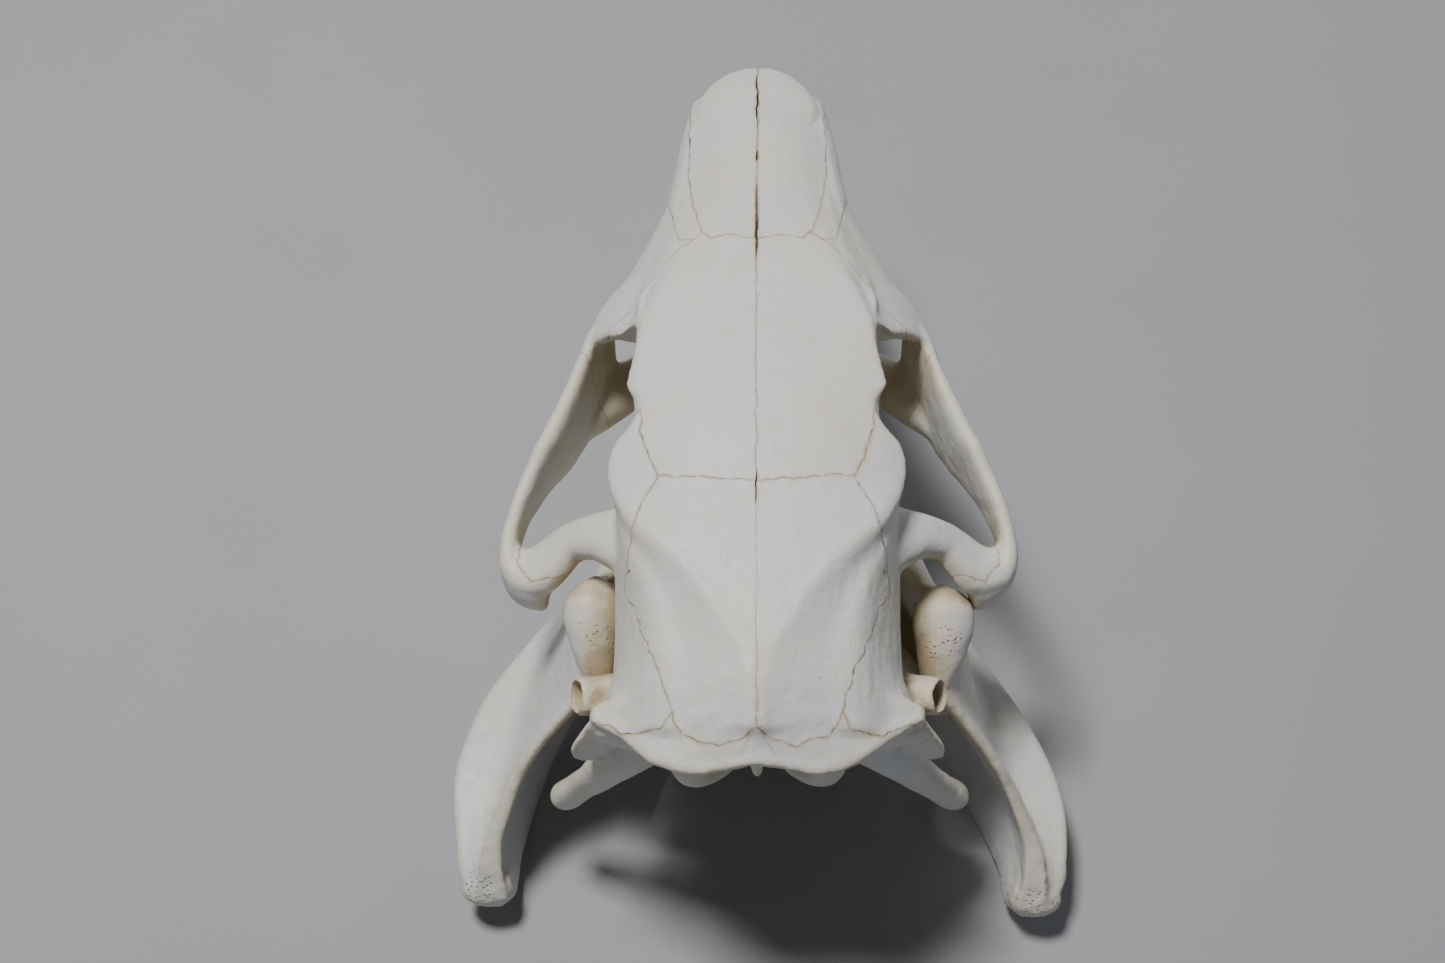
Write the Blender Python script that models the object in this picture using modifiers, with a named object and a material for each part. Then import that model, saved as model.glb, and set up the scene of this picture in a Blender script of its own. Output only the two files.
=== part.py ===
"""Capybara skull with its lower jaw, modelled bone by bone at life size.

Guides below are in millimetres in the skull's own frame: x to the animal's right side as seen from
behind, y forward from the occipital condyles to the snout, z up from the ground under the lower jaw.
The cranium is built level, and then settled on the jaw with the small roll that it lies with.
"""
import math

import bmesh
import bpy
from mathutils import Matrix, Vector

MM = 0.001

# ------------------------------------------------------------------ driving dimensions (mm)
NASAL_TIP_Y = 201.0         # tip of the nasal bones
OCCLUSAL_Z = 41.0           # plane of the upper cheek teeth
JAW_TEETH_Z = 37.6          # plane of the lower cheek teeth
SUTURE_GAP = 0.3            # open seam between two bones
BODY_CENTRE_Y = 97.3        # skull-frame y that becomes the model's origin
BODY_CENTRE_X = 0.55        # skull-frame x that becomes the model's origin
CRANIUM_ROLL = -3.2         # degrees, about the long axis
ROLL_HEIGHT = 25.0          # height of that axis

VOXEL = 1.35                # grain of the unions
END_DOME = 1.8              # how far the ends of bars and plates bulge
SNOUT_DOME = 4.0            # how far the snout's end bulges
FILLET = 1.5                # radius that fills inner corners
CRANIUM_FACETS = 2500
JAW_FACETS = 1000

# ------------------------------------------------------------------ guides of the cranium
# (y, z) of the roof's midline, from the nuchal crest to the nasal tip
ROOF = [(-3, 102.2), (5, 106.2), (18, 111.6), (40, 114.7), (58, 116.2), (75, 117.3), (90, 117.4),
        (110, 115), (128, 111.9), (140, 108.8), (160, 103), (180, 97.5), (192, 93.6), (201, 89.8)]
# (y, x, z) of the roof's edge: temporal line, squamosal lobe, orbital notch and spur, nasal edge
EDGE = [(8, 3, 106.6), (18, 3, 111.2), (26.5, 7.8, 112.6), (38.3, 16.5, 113.8), (50.6, 27.9, 111.8),
        (62.9, 33.2, 108.7), (67, 33.8, 108.7), (71, 32.9, 109.7), (74.5, 29.2, 111.9), (78, 26.7, 113.1),
        (80, 26.4, 113.3), (84, 28.6, 112.7), (85.5, 30, 112.2), (88, 29.5, 112.6), (96, 27.6, 113.4),
        (104, 26.6, 112.8), (110, 24, 112.4), (117, 21.5, 111.2), (128, 18.6, 108.2), (140, 16.6, 104.4),
        (154, 15.6, 99.4), (170, 15.5, 94.6), (182, 14.6, 91.4), (190, 13, 89.4)]
# (y, x, z) of the slope under that edge
SLOPE = [(8, 24, 100), (25, 24, 104.8), (35, 25.5, 106.2), (45, 29, 105.2), (58, 32, 101.5),
         (64, 32.4, 105), (74, 28, 107.6), (85, 27.6, 109.3), (104, 27.6, 109.2), (112, 28.4, 106.8),
         (120, 27, 103.4), (140, 22.9, 98.4), (154, 21, 95.6), (170, 19.2, 91.8), (190, 16.8, 88)]
# (y, x, z) of the wall: braincase side, inner wall of the orbit, side of the snout
WALL = [(8, 36.6, 86), (15, 35.4, 86), (25, 32.6, 86), (45, 32.6, 88), (58, 31, 91.5), (64, 28.6, 93),
        (70, 24.5, 94), (78, 20, 95), (90, 18, 95), (105, 17.5, 93), (115, 19, 90), (125, 21.5, 90),
        (140, 23, 89.5), (154, 22.9, 88.5), (163, 21.8, 86.5), (173, 20.8, 85), (190, 17.6, 83)]
# (y, x, z) of the lower flank and of the edge of the underside
FLANK = [(8, 30, 72), (25, 29.5, 70), (45, 27.5, 71), (65, 20, 74), (78, 17.5, 74), (105, 16.5, 72),
         (120, 18, 70), (150, 18, 67), (170, 17, 65), (190, 15, 62)]
FLOOR = [(8, 13, 59), (35, 13, 57), (55, 11, 60), (70, 10, 60), (90, 12, 56), (120, 13, 55),
         (140, 12, 52), (160, 11, 50.5), (190, 10.5, 51)]
# (y, half width, depth under the roof's line) of the nasal bones' overhanging vault
NASAL_DOME = [(168, 13, 1.2), (178, 14.4, 0.7), (186, 15.8, 0.1), (201, 15.9, 0)]
# (y, shift) of a section's lower part, forward, for each 38 mm below z 92
LEAN = [(8, 12), (16, 7), (26, 2), (36, 0), (150, 0), (170, 2.5), (190, 7.5)]

# (x, y, z) along the nuchal crest, and (x, z) of the roof 13 mm in front of it
CREST = [(0, -2.8, 102.5), (5.9, -3.3, 101), (13, -4.1, 99.6), (22, -1, 98), (29, 5.1, 96),
         (36.8, 10.6, 93.6)]
CREST_ROOT = [(0, 109.6), (10, 106.6), (22, 101.2), (36.8, 94)]
# (z, inner x, outer x, outer y) of the flange from the nuchal corner down to the mastoid corner
FLANGE = [(69.5, 28, 38.5, 11), (73, 29, 41.6, 9.6), (77.4, 30, 42.1, 9.4), (82, 30, 40.6, 9.4),
          (88, 30, 38.2, 10), (93, 29, 35.8, 10.6), (98, 22, 27.5, 13)]

# (y, inner x, outer x, low z, high z) of the tooth-bearing block, and (y, half width, z) of the palate
TOOTH_BLOCK = [(64, 14, 19.5, 52, 62), (70, 14, 23.4, 47, 66), (80, 13.2, 25.8, 46.8, 66),
               (110, 7.8, 21.5, 46.8, 66), (137, 3.2, 17, 46.8, 66), (143, 3, 14.5, 48.5, 64)]
PALATE = [(84, 10, 53.4), (92, 11.5, 52.4), (130, 7, 52.4), (150, 8, 53), (165, 8, 53.4)]

# cheek arch: upright plates as (x, y, low z, high z, thickness), bars as (x, y, z, half sizes)
ARCH = [(38.0, 120, 66, 89.5, 4.5), (40.3, 114, 60, 92.3, 5.5), (43.0, 106, 60, 91.5, 5),
        (45.7, 98, 62.5, 90.5, 5.3), (48.8, 90, 66, 89.5, 5.5), (52.3, 82.2, 69.5, 88.6, 4.9),
        (54.9, 76, 71.5, 87, 4.8), (57.0, 70, 73, 86, 4.2), (58.7, 63.5, 73.5, 84.5, 4),
        (59.1, 57.5, 73, 83.5, 4.2), (57.5, 53.2, 71.5, 82, 4.8), (54.3, 51, 70.5, 80, 5.6),
        (51.2, 50, 70.8, 77, 4.6)]
VENTRAL_ROOT = [(10, 126, 57.5, 12, 9.6), (16.5, 125.6, 58, 10.4, 8.6), (22, 124.2, 59, 8, 7.2),
                (31, 119.5, 62.4, 6.3, 6.2), (37, 113.5, 64.6, 6.4, 6), (42, 106.5, 66.5, 5.4, 5.8),
                (45, 100, 68, 3, 4.5)]
SQUAMOSAL_ROOT = [(25, 56.5, 93.6, 12.8, 6.4), (29.5, 56.2, 93.2, 9.6, 5.8), (33.5, 57, 92, 7, 4.9),
                  (37.5, 58.4, 89.8, 5.5, 4.3), (43, 59.2, 85.8, 4.8, 3.9), (47.5, 57, 82.4, 5.8, 3.8),
                  (51.6, 54.6, 79.8, 6.4, 3.9), (56.6, 54.4, 78.6, 4.6, 3.8)]
# (y, then x and z of the frontal side, outer edge, underside and snout side) of the dorsal root
DORSAL_ROOT = [(111.5, 26, 112.2, 40.8, 92.6, 39.6, 84, 22, 94),
               (118, 21.8, 109.8, 40, 91.4, 38, 83, 19, 90),
               (124, 20.1, 108.1, 36.9, 92, 34.6, 84.5, 17, 88),
               (130, 18.7, 106.3, 32.9, 92.3, 31, 86, 17, 88),
               (137, 17.6, 104, 29.7, 92.2, 28.2, 87.2, 16, 88),
               (145, 16.8, 101.4, 26.5, 92, 25.4, 88.6, 16, 88),
               (153.5, 16, 98.4, 23.2, 91.8, 22.8, 90, 15, 88)]
ORBIT_ARC = 3.2             # how far the orbit's front rim bows forward
ORBIT_REACH = 7.5           # how far its upper end lies behind the first of these sections

# processes of the skull's rear and base
PAROCCIPITAL = [(23, 15.5, 77, 5.5, 9), (28, 14.2, 71, 4.6, 7.6), (33, 13.2, 63.5, 3.6, 6),
                (38, 13.4, 54.5, 3.1, 5), (43, 14, 46, 3.2, 4.3), (46.5, 14.4, 40, 3.5, 4.2),
                (48, 14.4, 37.8, 3.3, 3.6)]
OCCIPITAL_CONDYLE = [(15.4, 15.5, 75, 3, 3.2), (16, 12.8, 69.5, 5, 4.7), (15.4, 12.4, 64, 5, 4.7),
                     (12.6, 14, 59.4, 4.6, 4.2), (8.4, 16.5, 57, 3.6, 3.6)]
PTERYGOID = [(13.5, 74, 48, 64, 3.6), (12, 64, 47.5, 63, 3.4), (10.8, 55, 48.5, 62, 3.2),
             (11.6, 47, 51, 60, 3)]
EAR_TUBE = [(24, 31, 64, 5, 5), (31, 29, 68.2, 4.8, 4.8), (37, 26.6, 71.6, 4.7, 4.7),
            (41.2, 25.4, 73.6, 4.6, 4.6)]
EAR_HOLE = [(33, 28, 69.3, 2.2, 2.2), (38, 26.4, 72.2, 2.7, 2.7), (40.6, 25.5, 73.4, 3.6, 3.6),
            (46, 24.2, 76, 4.2, 4.2)]
# (x, z) of the right half of the nostrils' opening, from its top
NOSTRIL = [(0, 87.6), (7.5, 87), (12, 82.5), (11.4, 74), (8.4, 65.5), (3.6, 62.4), (0, 62)]
NOSTRIL_DEPTH_Y, NOSTRIL_RUN = 154.0, 34.0      # its end inside, and the way on which it narrows
NOSTRIL_MIDDLE_Z, NOSTRIL_NARROW = 75.0, 0.45   # the height it narrows to, and its share left there
NOSTRIL_DROP_Y, NOSTRIL_DROP = 188.0, 0.32      # in front of there it drops by this slope
NASAL_STRAIGHT_Y = 185.0    # from there on the nasal vault rounds off
OCCIPITAL_SPINE = [(0, 0, 88.5, 102, 2.2), (0, 5, 86, 103, 3), (0, 12, 80, 104, 5)]

# ------------------------------------------------------------------ guides of the lower jaw
# (y, x, z): rear border and top of the ramus, crease over the shelf, shelf edge and lower inner edge
RAMUS_TOP = [(-5, 67.5, 14), (0, 67.6, 21), (5, 67.4, 25.5), (11, 64, 31), (16, 61, 37), (20.5, 57.2, 44),
             (26.5, 49, 55), (32, 41.3, 65), (40, 41.2, 69), (48, 41.3, 73), (54, 41, 71), (62, 38.5, 62.5),
             (72, 35.6, 60), (79, 33, 57.5), (86, 30.2, 48), (94, 27, 39), (104, 23.5, 31),
             (116, 18.6, 28), (128, 13.5, 25)]
CREASE = [(-5, 69.5, 14.5), (0, 70, 19.6), (6, 69.3, 21), (12, 68, 22), (20, 65, 23), (33, 60.6, 27),
          (48, 56, 32), (54, 53, 34), (62, 48.5, 36), (72, 42.5, 36), (80, 38.5, 34), (92, 32.6, 30),
          (104, 26.6, 26), (116, 20.8, 23), (128, 14.5, 20)]
SHELF = [(-5, 71.6, 12.5), (-1.5, 73.6, 14.6), (3, 75.3, 16.3), (10, 76.1, 17.8), (20, 76.8, 19),
         (29, 75.5, 20), (36, 72.9, 21.5), (43, 69.6, 23.5), (50, 64.8, 25.5), (60, 56.9, 28.8),
         (66, 52.2, 29.8), (74, 46, 29.3), (88, 36.6, 26), (104, 27.6, 21), (116, 21.6, 18), (128, 15, 16)]
HEEL = [(-5, 65, 9), (0, 62.2, 6), (8, 61.8, 3.2), (15, 60.6, 0.9), (22, 58.7, -0.7), (28, 56.8, -1.1),
        (34, 54.2, 0.4), (41, 50.4, 4), (48, 46.4, 7), (54, 43, 8.2), (62, 37.5, 7.5), (72, 31, 5),
        (88, 21, 1.5), (104, 15.4, 1), (116, 11.4, 1.8), (128, 7, 4)]
# (y, plate thickness at the top, plate thickness at the crease)
RAMUS_THICKNESS = [(-5, 7, 6), (6, 4.5, 5), (12, 3.6, 4.6), (20, 3, 4.4), (33, 4.6, 4.8), (41, 8, 5),
                   (48, 8, 5.6), (54, 5.4, 6), (72, 5, 8), (88, 6, 10), (104, 6, 9), (128, 4, 5)]
# (y, inner x, outer x, low z, high z) of the body that carries the teeth
JAW_BODY = [(42, 46, 50, 25, 31), (50, 37.5, 46, 20, 33.5), (60, 27, 38.5, 13.5, 34.6),
            (72, 17.6, 31, 7, 34.6), (85, 12.5, 26.8, 2, 34.2),
            (100, 9.5, 23.6, -0.8, 34), (115, 6.5, 20.5, -1.1, 34), (128, 3.8, 17.6, -0.8, 33.6),
            (136, 1.4, 15.8, 1, 32.6), (146, -0.6, 14.2, 4, 30.6), (158, -1.2, 12.8, 9, 30.4),
            (168, -1.2, 11.7, 15.5, 31.6), (175.5, -1, 10.5, 22.5, 34)]
CONDYLE = [(41, 52.8, 75.4, 2.4, 1.8), (41, 51.2, 76.1, 5, 3.6), (41, 48.2, 75.4, 7.1, 5.2),
           (41.1, 44.4, 73, 7.3, 5.6), (41, 40.6, 70.4, 6.3, 5.1), (40.4, 37, 67.6, 5.1, 4.2),
           (39.9, 33.5, 64.6, 3.5, 3)]
CORONOID = [(35, 66, 56, 62.6, 3.6), (34.4, 72, 52, 64.5, 4.2), (33.6, 77, 50, 66.4, 4),
            (32.6, 80.5, 48, 63, 3.6), (31.2, 84, 42, 57, 3.6)]
# (y, sideways shift) of the jaw's lower half, which isn't quite the same on both sides
JAW_BEND = [(-5, 1.3), (8, 1.2), (30, -0.4), (52, -1.8), (75, -0.8), (105, 0)]
BEND_TOP_Z, BEND_BLEND = 60.0, 30.0     # it starts at this height and is full this far below it

# ------------------------------------------------------------------ teeth
# cheek teeth as (middle y, length); their row runs outwards to the rear
UPPER_TEETH = [(131, 10.4), (119.2, 10.8), (107, 11.2), (85.6, 28.6)]
LOWER_TEETH = [(127.5, 11), (115, 11.4), (102.8, 11.4), (84, 23.4)]
TOOTH_WIDTH = 10.4
ROW_FRONT_Y, ROW_FRONT_X, ROW_SPREAD = 137.0, 10.1, 0.177
# incisors as arcs: (centre y, centre z, radius, depth, width, from angle, to angle)
UPPER_INCISOR = (163, 38, 30.5, 8, 9, 36, -20)
LOWER_INCISOR = (134, 62, 47, 7.5, 8.6, -50, -19.5)
SOCKET_GAP = 0.35

# ------------------------------------------------------------------ seams, as outlines in plan (x, y)
MIDLINE = SUTURE_GAP / 2
NASAL_SEAM = [(MIDLINE, 127.6), (6.4, 129.2), (11.2, 129.1), (13.2, 131.8), (15.8, 144.7), (17.5, 159.7),
              (17.6, 181), (17.6, 215), (MIDLINE, 215)]
JUGAL_SEAM = [(38, 103.5), (47.5, 113.5), (72, 108), (72, 40), (44, 40), (45, 51.4), (53, 50.2),
              (56.4, 55), (55.4, 65), (46, 77), (36, 95)]
FRONTAL_SEAM = [(MIDLINE, 58.3), (8, 58.9), (16.8, 60.4), (21.8, 61), (24.9, 69.4), (26.2, 74),
                (26.2, 78.6), (36, 78.6), (36, 109.5), (28.8, 113.5), (22, 124), (13.4, 131.2),
                (11, 131), (MIDLINE, 130)]
PARIETAL_SEAM = [(MIDLINE, 3.4), (3.5, 1.9), (8, 0.9), (12, 2.3), (15.5, 3.4), (17.6, 6.6),
                 (18.9, 10.6), (21.9, 19.5), (24.5, 24.7), (26.5, 32.5), (29.5, 38.9), (28.6, 44.8),
                 (25.7, 53.8), (21.8, 61), (21.8, 64), (MIDLINE, 64)]
BULLA_SEAM = [(10.5, 18.5), (34, 18.5), (34, 47.5), (10.5, 47.5)]
EAR_SEAM = [(31.5, 21), (48, 18), (48, 37), (31.5, 36)]
SQUAMOSAL_SEAM = [(10, 17), (36.4, 17), (45, 20), (64, 40), (64, 82), (10, 82)]
SQUAMOSAL_STRIP = [(18, 9), (20.2, 5.4), (26.9, 5.5), (32, 8.8), (36, 10.2), (37, 19), (15, 19)]
PREMAXILLA_SEAM = [(MIDLINE, 151), (23, 155), (40, 160), (40, 215), (MIDLINE, 215)]
PREMAXILLA_STRIP = [(11.5, 128.5), (19, 130.8), (22.6, 153), (23, 160), (12, 160)]
MAXILLA_SEAM = [(MIDLINE, 88.5), (30, 88.5), (52, 98), (60, 130), (40, 165), (MIDLINE, 165)]
TOOTH_SEAM = [(12.6, 60), (32, 60), (32, 90), (12.6, 90)]
OCCIPITAL_SEAM = [(-60, -20), (60, -20), (60, 23), (-60, 23)]

FAR = 130.0                 # beyond the skull on every side
NASAL_UNDERSIDE = (128, 105.5, 200, 83.0)   # a slope: y, z, y, z


# ------------------------------------------------------------------ small tools
def smooth(guide, t):
    """The values of a guide, whose rows start with a rising station, at station t: monotone cubic."""
    stations = [row[0] for row in guide]
    t = min(max(t, stations[0]), stations[-1])
    k = max(i for i in range(len(guide) - 1) if stations[i] <= t)
    width = stations[k + 1] - stations[k]
    u = (t - stations[k]) / width
    values = []
    for column in range(1, len(guide[0])):
        slopes = [slope_at(guide, i, column) for i in (k, k + 1)]
        a, b = guide[k][column], guide[k + 1][column]
        values.append((1 + 2 * u) * (1 - u) ** 2 * a + u * (1 - u) ** 2 * width * slopes[0]
                      + u * u * (3 - 2 * u) * b + u * u * (u - 1) * width * slopes[1])
    return Vector(values) if len(values) > 1 else values[0]


def slope_at(guide, i, column):
    """A guide's slope at its row i, flat where the guide turns."""
    def chord(j):
        return (guide[j + 1][column] - guide[j][column]) / (guide[j + 1][0] - guide[j][0])
    if i == 0:
        return chord(0)
    if i == len(guide) - 1:
        return chord(i - 1)
    before, after = chord(i - 1), chord(i)
    if before * after <= 0:
        return 0
    h0, h1 = guide[i][0] - guide[i - 1][0], guide[i + 1][0] - guide[i][0]
    return 3 * (h0 + h1) / ((2 * h1 + h0) / before + (h1 + 2 * h0) / after)


def steps(start, end, spacing):
    """Evenly spaced stations from start to end."""
    count = max(1, round(abs(end - start) / spacing))
    return [start + (end - start) * i / count for i in range(count + 1)]


def rounded(points, per_side=4):
    """A closed smooth ring through the points (Catmull-Rom)."""
    p = [Vector(q) for q in points]
    ring = []
    for i in range(len(p)):
        a, b, c, d = p[i - 1], p[i], p[(i + 1) % len(p)], p[(i + 2) % len(p)]
        for k in range(per_side):
            u = k / per_side
            ring.append(0.5 * (2 * b + (c - a) * u + (2 * a - 5 * b + 4 * c - d) * u * u
                               + (3 * b - a - 3 * c + d) * u ** 3))
    return ring


def mirrored_half(half):
    """The full outline of a half that runs from the top of the midline to its bottom."""
    return half + [(-x, z) for x, z in half[-2:0:-1]]


def squircle(centre, side, up, a, b, power, count=20):
    """A rounded box or ellipse with half sizes a and b along the directions side and up."""
    ring = []
    for k in range(count):
        turn = 2 * math.pi * k / count
        c, s = math.cos(turn), math.sin(turn)
        ring.append(centre + side * (math.copysign(abs(c) ** (2 / power), c) * a)
                    + up * (math.copysign(abs(s) ** (2 / power), s) * b))
    return ring


def new_object(name, bm):
    """An object in the building collection, from a bmesh that is used up."""
    mesh = bpy.data.meshes.new(name)
    bm.to_mesh(mesh)
    bm.free()
    obj = bpy.data.objects.new(name, mesh)
    workshop.objects.link(obj)
    return obj


def loft(name, rings):
    """A closed skin over rings of equal count, given in millimetres."""
    bm = bmesh.new()
    rows = [[bm.verts.new(Vector(point) * MM) for point in ring] for ring in rings]
    count = len(rows[0])
    for a, b in zip(rows, rows[1:]):
        for i in range(count):
            j = (i + 1) % count
            bm.faces.new((a[i], a[j], b[j], b[i]))
    bm.faces.new(rows[0])
    bm.faces.new(rows[-1])
    bmesh.ops.recalc_face_normals(bm, faces=bm.faces)
    return new_object(name, bm)


def domed(rings, depth):
    """The rings with smaller ones beyond both ends, so that the body ends round."""
    ends = []
    for last, inner in ((rings[0], rings[1]), (rings[-1], rings[-2])):
        centre, behind = (sum((Vector(p) for p in ring), Vector((0, 0, 0))) / len(ring)
                          for ring in (last, inner))
        outward = (centre - behind).normalized()
        ends.append([[centre + (Vector(p) - centre) * math.cos(turn) + outward * (depth * math.sin(turn))
                      for p in last] for turn in (0.5, 0.95, 1.3)])
    return ends[0][::-1] + rings + ends[1]


def measured(stations, dims):
    """The stations as a guide over the distance along their first dims coordinates."""
    guide, distance = [], 0.0
    for i, row in enumerate(stations):
        if i:
            distance += math.dist(row[:dims], stations[i - 1][:dims])
        guide.append((distance, *row))
    return guide


def along(guide, t, dims):
    """The unit direction of a measured guide at distance t."""
    ahead = smooth(guide, min(t + 0.5, guide[-1][0]))
    behind = smooth(guide, max(t - 0.5, 0))
    return Vector([ahead[i] - behind[i] if i < dims else 0 for i in range(3)]).normalized()


def plate(name, stations, power=3.0):
    """An upright plate along a plan path: rows (x, y, low z, high z, thickness)."""
    guide = measured(stations, 2)
    rings = []
    for t in steps(0, guide[-1][0], 2.0):
        x, y, low, high, thickness = smooth(guide, t)
        forward = along(guide, t, 2)
        side = Vector((forward.y, -forward.x, 0))
        rings.append(squircle(Vector((x, y, (low + high) / 2)), side, Vector((0, 0, 1)),
                              thickness / 2, (high - low) / 2, power))
    return loft(name, domed(rings, END_DOME))


def bar(name, stations, flat=(0, 1, 0), power=2.2):
    """A bar along a path: rows (x, y, z, half size along flat, half size across)."""
    guide = measured(stations, 3)
    rings = []
    for t in steps(0, guide[-1][0], 2.0):
        x, y, z, a, b = smooth(guide, t)
        forward = along(guide, t, 3)
        side = Vector(flat)
        side = (side - forward * side.dot(forward)).normalized()
        rings.append(squircle(Vector((x, y, z)), side, forward.cross(side), a, b, power))
    return loft(name, domed(rings, END_DOME))


def ball(name, centre, radii, tilt=0.0):
    """An ellipsoid, tilted about the x axis."""
    bm = bmesh.new()
    bmesh.ops.create_uvsphere(bm, u_segments=24, v_segments=14, radius=1)
    size = Matrix.Diagonal((*[r * MM for r in radii], 1))
    turn = Matrix.Rotation(math.radians(tilt), 4, "X")
    bmesh.ops.transform(bm, verts=bm.verts, matrix=Matrix.Translation(Vector(centre) * MM) @ turn @ size)
    return new_object(name, bm)


def box(name, low, high):
    """A box between two corners."""
    bm = bmesh.new()
    bmesh.ops.create_cube(bm, size=1)
    low, high = Vector(low) * MM, Vector(high) * MM
    size = Matrix.Diagonal((*(high - low), 1))
    bmesh.ops.transform(bm, verts=bm.verts, matrix=Matrix.Translation((low + high) / 2) @ size)
    return new_object(name, bm)


def reflected(obj, name):
    """A mirror image on the animal's other side."""
    bm = bmesh.new()
    bm.from_mesh(obj.data)
    for vert in bm.verts:
        vert.co.x = -vert.co.x
    bmesh.ops.reverse_faces(bm, faces=bm.faces)
    return new_object(name, bm)


def with_reflections(objects):
    """The objects and their mirror images."""
    return objects + [reflected(obj, obj.name + "_other") for obj in objects]


def apply_modifiers(obj):
    """The object's mesh becomes what its modifiers make of it."""
    depsgraph = bpy.context.evaluated_depsgraph_get()
    depsgraph.update()
    mesh = bpy.data.meshes.new_from_object(obj.evaluated_get(depsgraph))
    obj.modifiers.clear()
    old = obj.data
    obj.data = mesh
    bpy.data.meshes.remove(old)


def remesh(obj):
    modifier = obj.modifiers.new("grain", "REMESH")
    modifier.mode = "VOXEL"
    modifier.voxel_size = VOXEL * MM


def offset_surface(obj, distance):
    modifier = obj.modifiers.new("offset", "DISPLACE")
    modifier.strength = distance * MM
    modifier.mid_level = 0


def grown_together(name, pieces, holes, facets):
    """One body of overlapping pieces: inner corners filled, holes cut, surface softened, facets reduced."""
    bm = bmesh.new()
    for piece in pieces:
        bm.from_mesh(piece.data)
        bpy.data.objects.remove(piece)
    body = new_object(name, bm)
    remesh(body)
    offset_surface(body, FILLET)
    remesh(body)
    offset_surface(body, -FILLET)
    remesh(body)
    soften = body.modifiers.new("soften", "SMOOTH")
    soften.iterations = 3
    apply_modifiers(body)
    cut_away(body, holes)
    corners = sum(len(face.vertices) - 2 for face in body.data.polygons)
    reduce = body.modifiers.new("facets", "DECIMATE")
    reduce.ratio = facets / corners
    reduce.use_collapse_triangulate = True
    apply_modifiers(body)
    return body


def cut(obj, tool, operation="DIFFERENCE"):
    """A boolean with a tool that stays for later cuts."""
    modifier = obj.modifiers.new("cut", "BOOLEAN")
    modifier.operation = operation
    modifier.object = tool
    apply_modifiers(obj)


def cut_away(obj, tools):
    for tool in tools:
        cut(obj, tool)
        bpy.data.objects.remove(tool)


def main_body(obj):
    """Keeps the largest loose piece of a cut bone and drops slivers."""
    bm = bmesh.new()
    bm.from_mesh(obj.data)
    bmesh.ops.remove_doubles(bm, verts=bm.verts, dist=0.00002)
    bmesh.ops.dissolve_degenerate(bm, edges=bm.edges, dist=0.00001)
    bmesh.ops.triangulate(bm, faces=bm.faces)
    left, groups = set(bm.verts), []
    while left:
        group, front = set(), [left.pop()]
        while front:
            vert = front.pop()
            group.add(vert)
            linked = [edge.other_vert(vert) for edge in vert.link_edges]
            fresh = [other for other in linked if other in left]
            left.difference_update(fresh)
            front.extend(fresh)
        groups.append(group)
    biggest = max(groups, key=len)
    bmesh.ops.delete(bm, geom=[v for v in bm.verts if v not in biggest], context="VERTS")
    bm.to_mesh(obj.data)
    bm.free()


# ------------------------------------------------------------------ cranium
def core():
    """Roof, braincase, inner orbit walls and snout, in sections across the midline."""
    rings = []
    for y in steps(8, 190, 1.5):
        roof = smooth(ROOF, y)
        (ex, ez), (sx, sz), (wx, wz), (fx, fz), (bx, bz) = (
            smooth(guide, y) for guide in (EDGE, SLOPE, WALL, FLANK, FLOOR))
        half = [(0, roof), (ex * 0.4, roof - (roof - ez) * 0.13), (ex * 0.74, roof - (roof - ez) * 0.5),
                (ex, ez), ((ex + sx) / 2, (ez + sz) / 2), (sx, sz), (wx, wz), (fx, fz),
                ((fx + bx) / 2, (fz + 2 * bz) / 3), (bx * 0.7, bz - 0.4), (0, bz - 0.6)]
        lean = smooth(LEAN, y) / 38
        rings.append([(x, y + lean * (92 - z), z) for x, z in rounded(mirrored_half(half))])
    return loft("core", domed(rings, SNOUT_DOME))


def nuchal_crest():
    """The scalloped crest that overhangs the back of the skull."""
    rings = []
    for x in steps(-CREST[-1][0], CREST[-1][0], 1.5):
        y, z = smooth(CREST, abs(x))
        rise = smooth(CREST_ROOT, abs(x)) - z
        size = 1 - 0.75 * max(0.0, (abs(x) - 26) / (CREST[-1][0] - 26))
        outline = [(0, -0.2), (2.5, 0.9), (7, rise * 2 / 3 - 0.6), (13, rise - 0.4), (15, rise - 8),
                   (9, -9), (4, -6), (1, -2.8)]
        rings.append([(x, y + a * size, z + b * size) for a, b in rounded(outline)])
    return loft("nuchal_crest", rings)


def nasal_dome():
    """The nasal bones' vault, whose rounded end overhangs the nostrils."""
    rings = []
    for y in steps(NASAL_DOME[0][0], NASAL_TIP_Y, 1.5):
        width, sunk = smooth(NASAL_DOME, y)
        taper = max(0.0, (y - NASAL_STRAIGHT_Y) / (NASAL_TIP_Y + 0.4 - NASAL_STRAIGHT_Y))
        w = width * math.sqrt(1 - taper * taper)
        top = smooth(ROOF, y) - sunk
        drop = 5 * (w / width) ** 2
        half = [(0, top), (w * 0.5, top - drop * 0.18), (w * 0.85, top - drop * 0.6), (w, top - drop - 0.3),
                (w * 0.9, top - drop - 3), (w * 0.5, top - 5.5), (0, top - 5)]
        rings.append([(x, y, z) for x, z in rounded(mirrored_half(half))])
    return loft("nasal_dome", rings)


def tooth_block():
    """The part of the right upper jaw that holds the cheek teeth."""
    rings = []
    for y in steps(TOOTH_BLOCK[0][0], TOOTH_BLOCK[-1][0], 2):
        inner, outer, low, high = smooth(TOOTH_BLOCK, y)
        middle = (low + high) / 2
        outline = [(inner + 1, high), (inner, middle), (inner, low + 2), (inner + 1, low),
                   ((inner + outer) / 2, low - 0.2), (outer - 1, low), (outer, low + 2.5),
                   (outer - 1.5, middle), (outer - 7, high)]
        rings.append([(x, y, z) for x, z in rounded(outline, 3)])
    return loft("tooth_block", rings)


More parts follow.
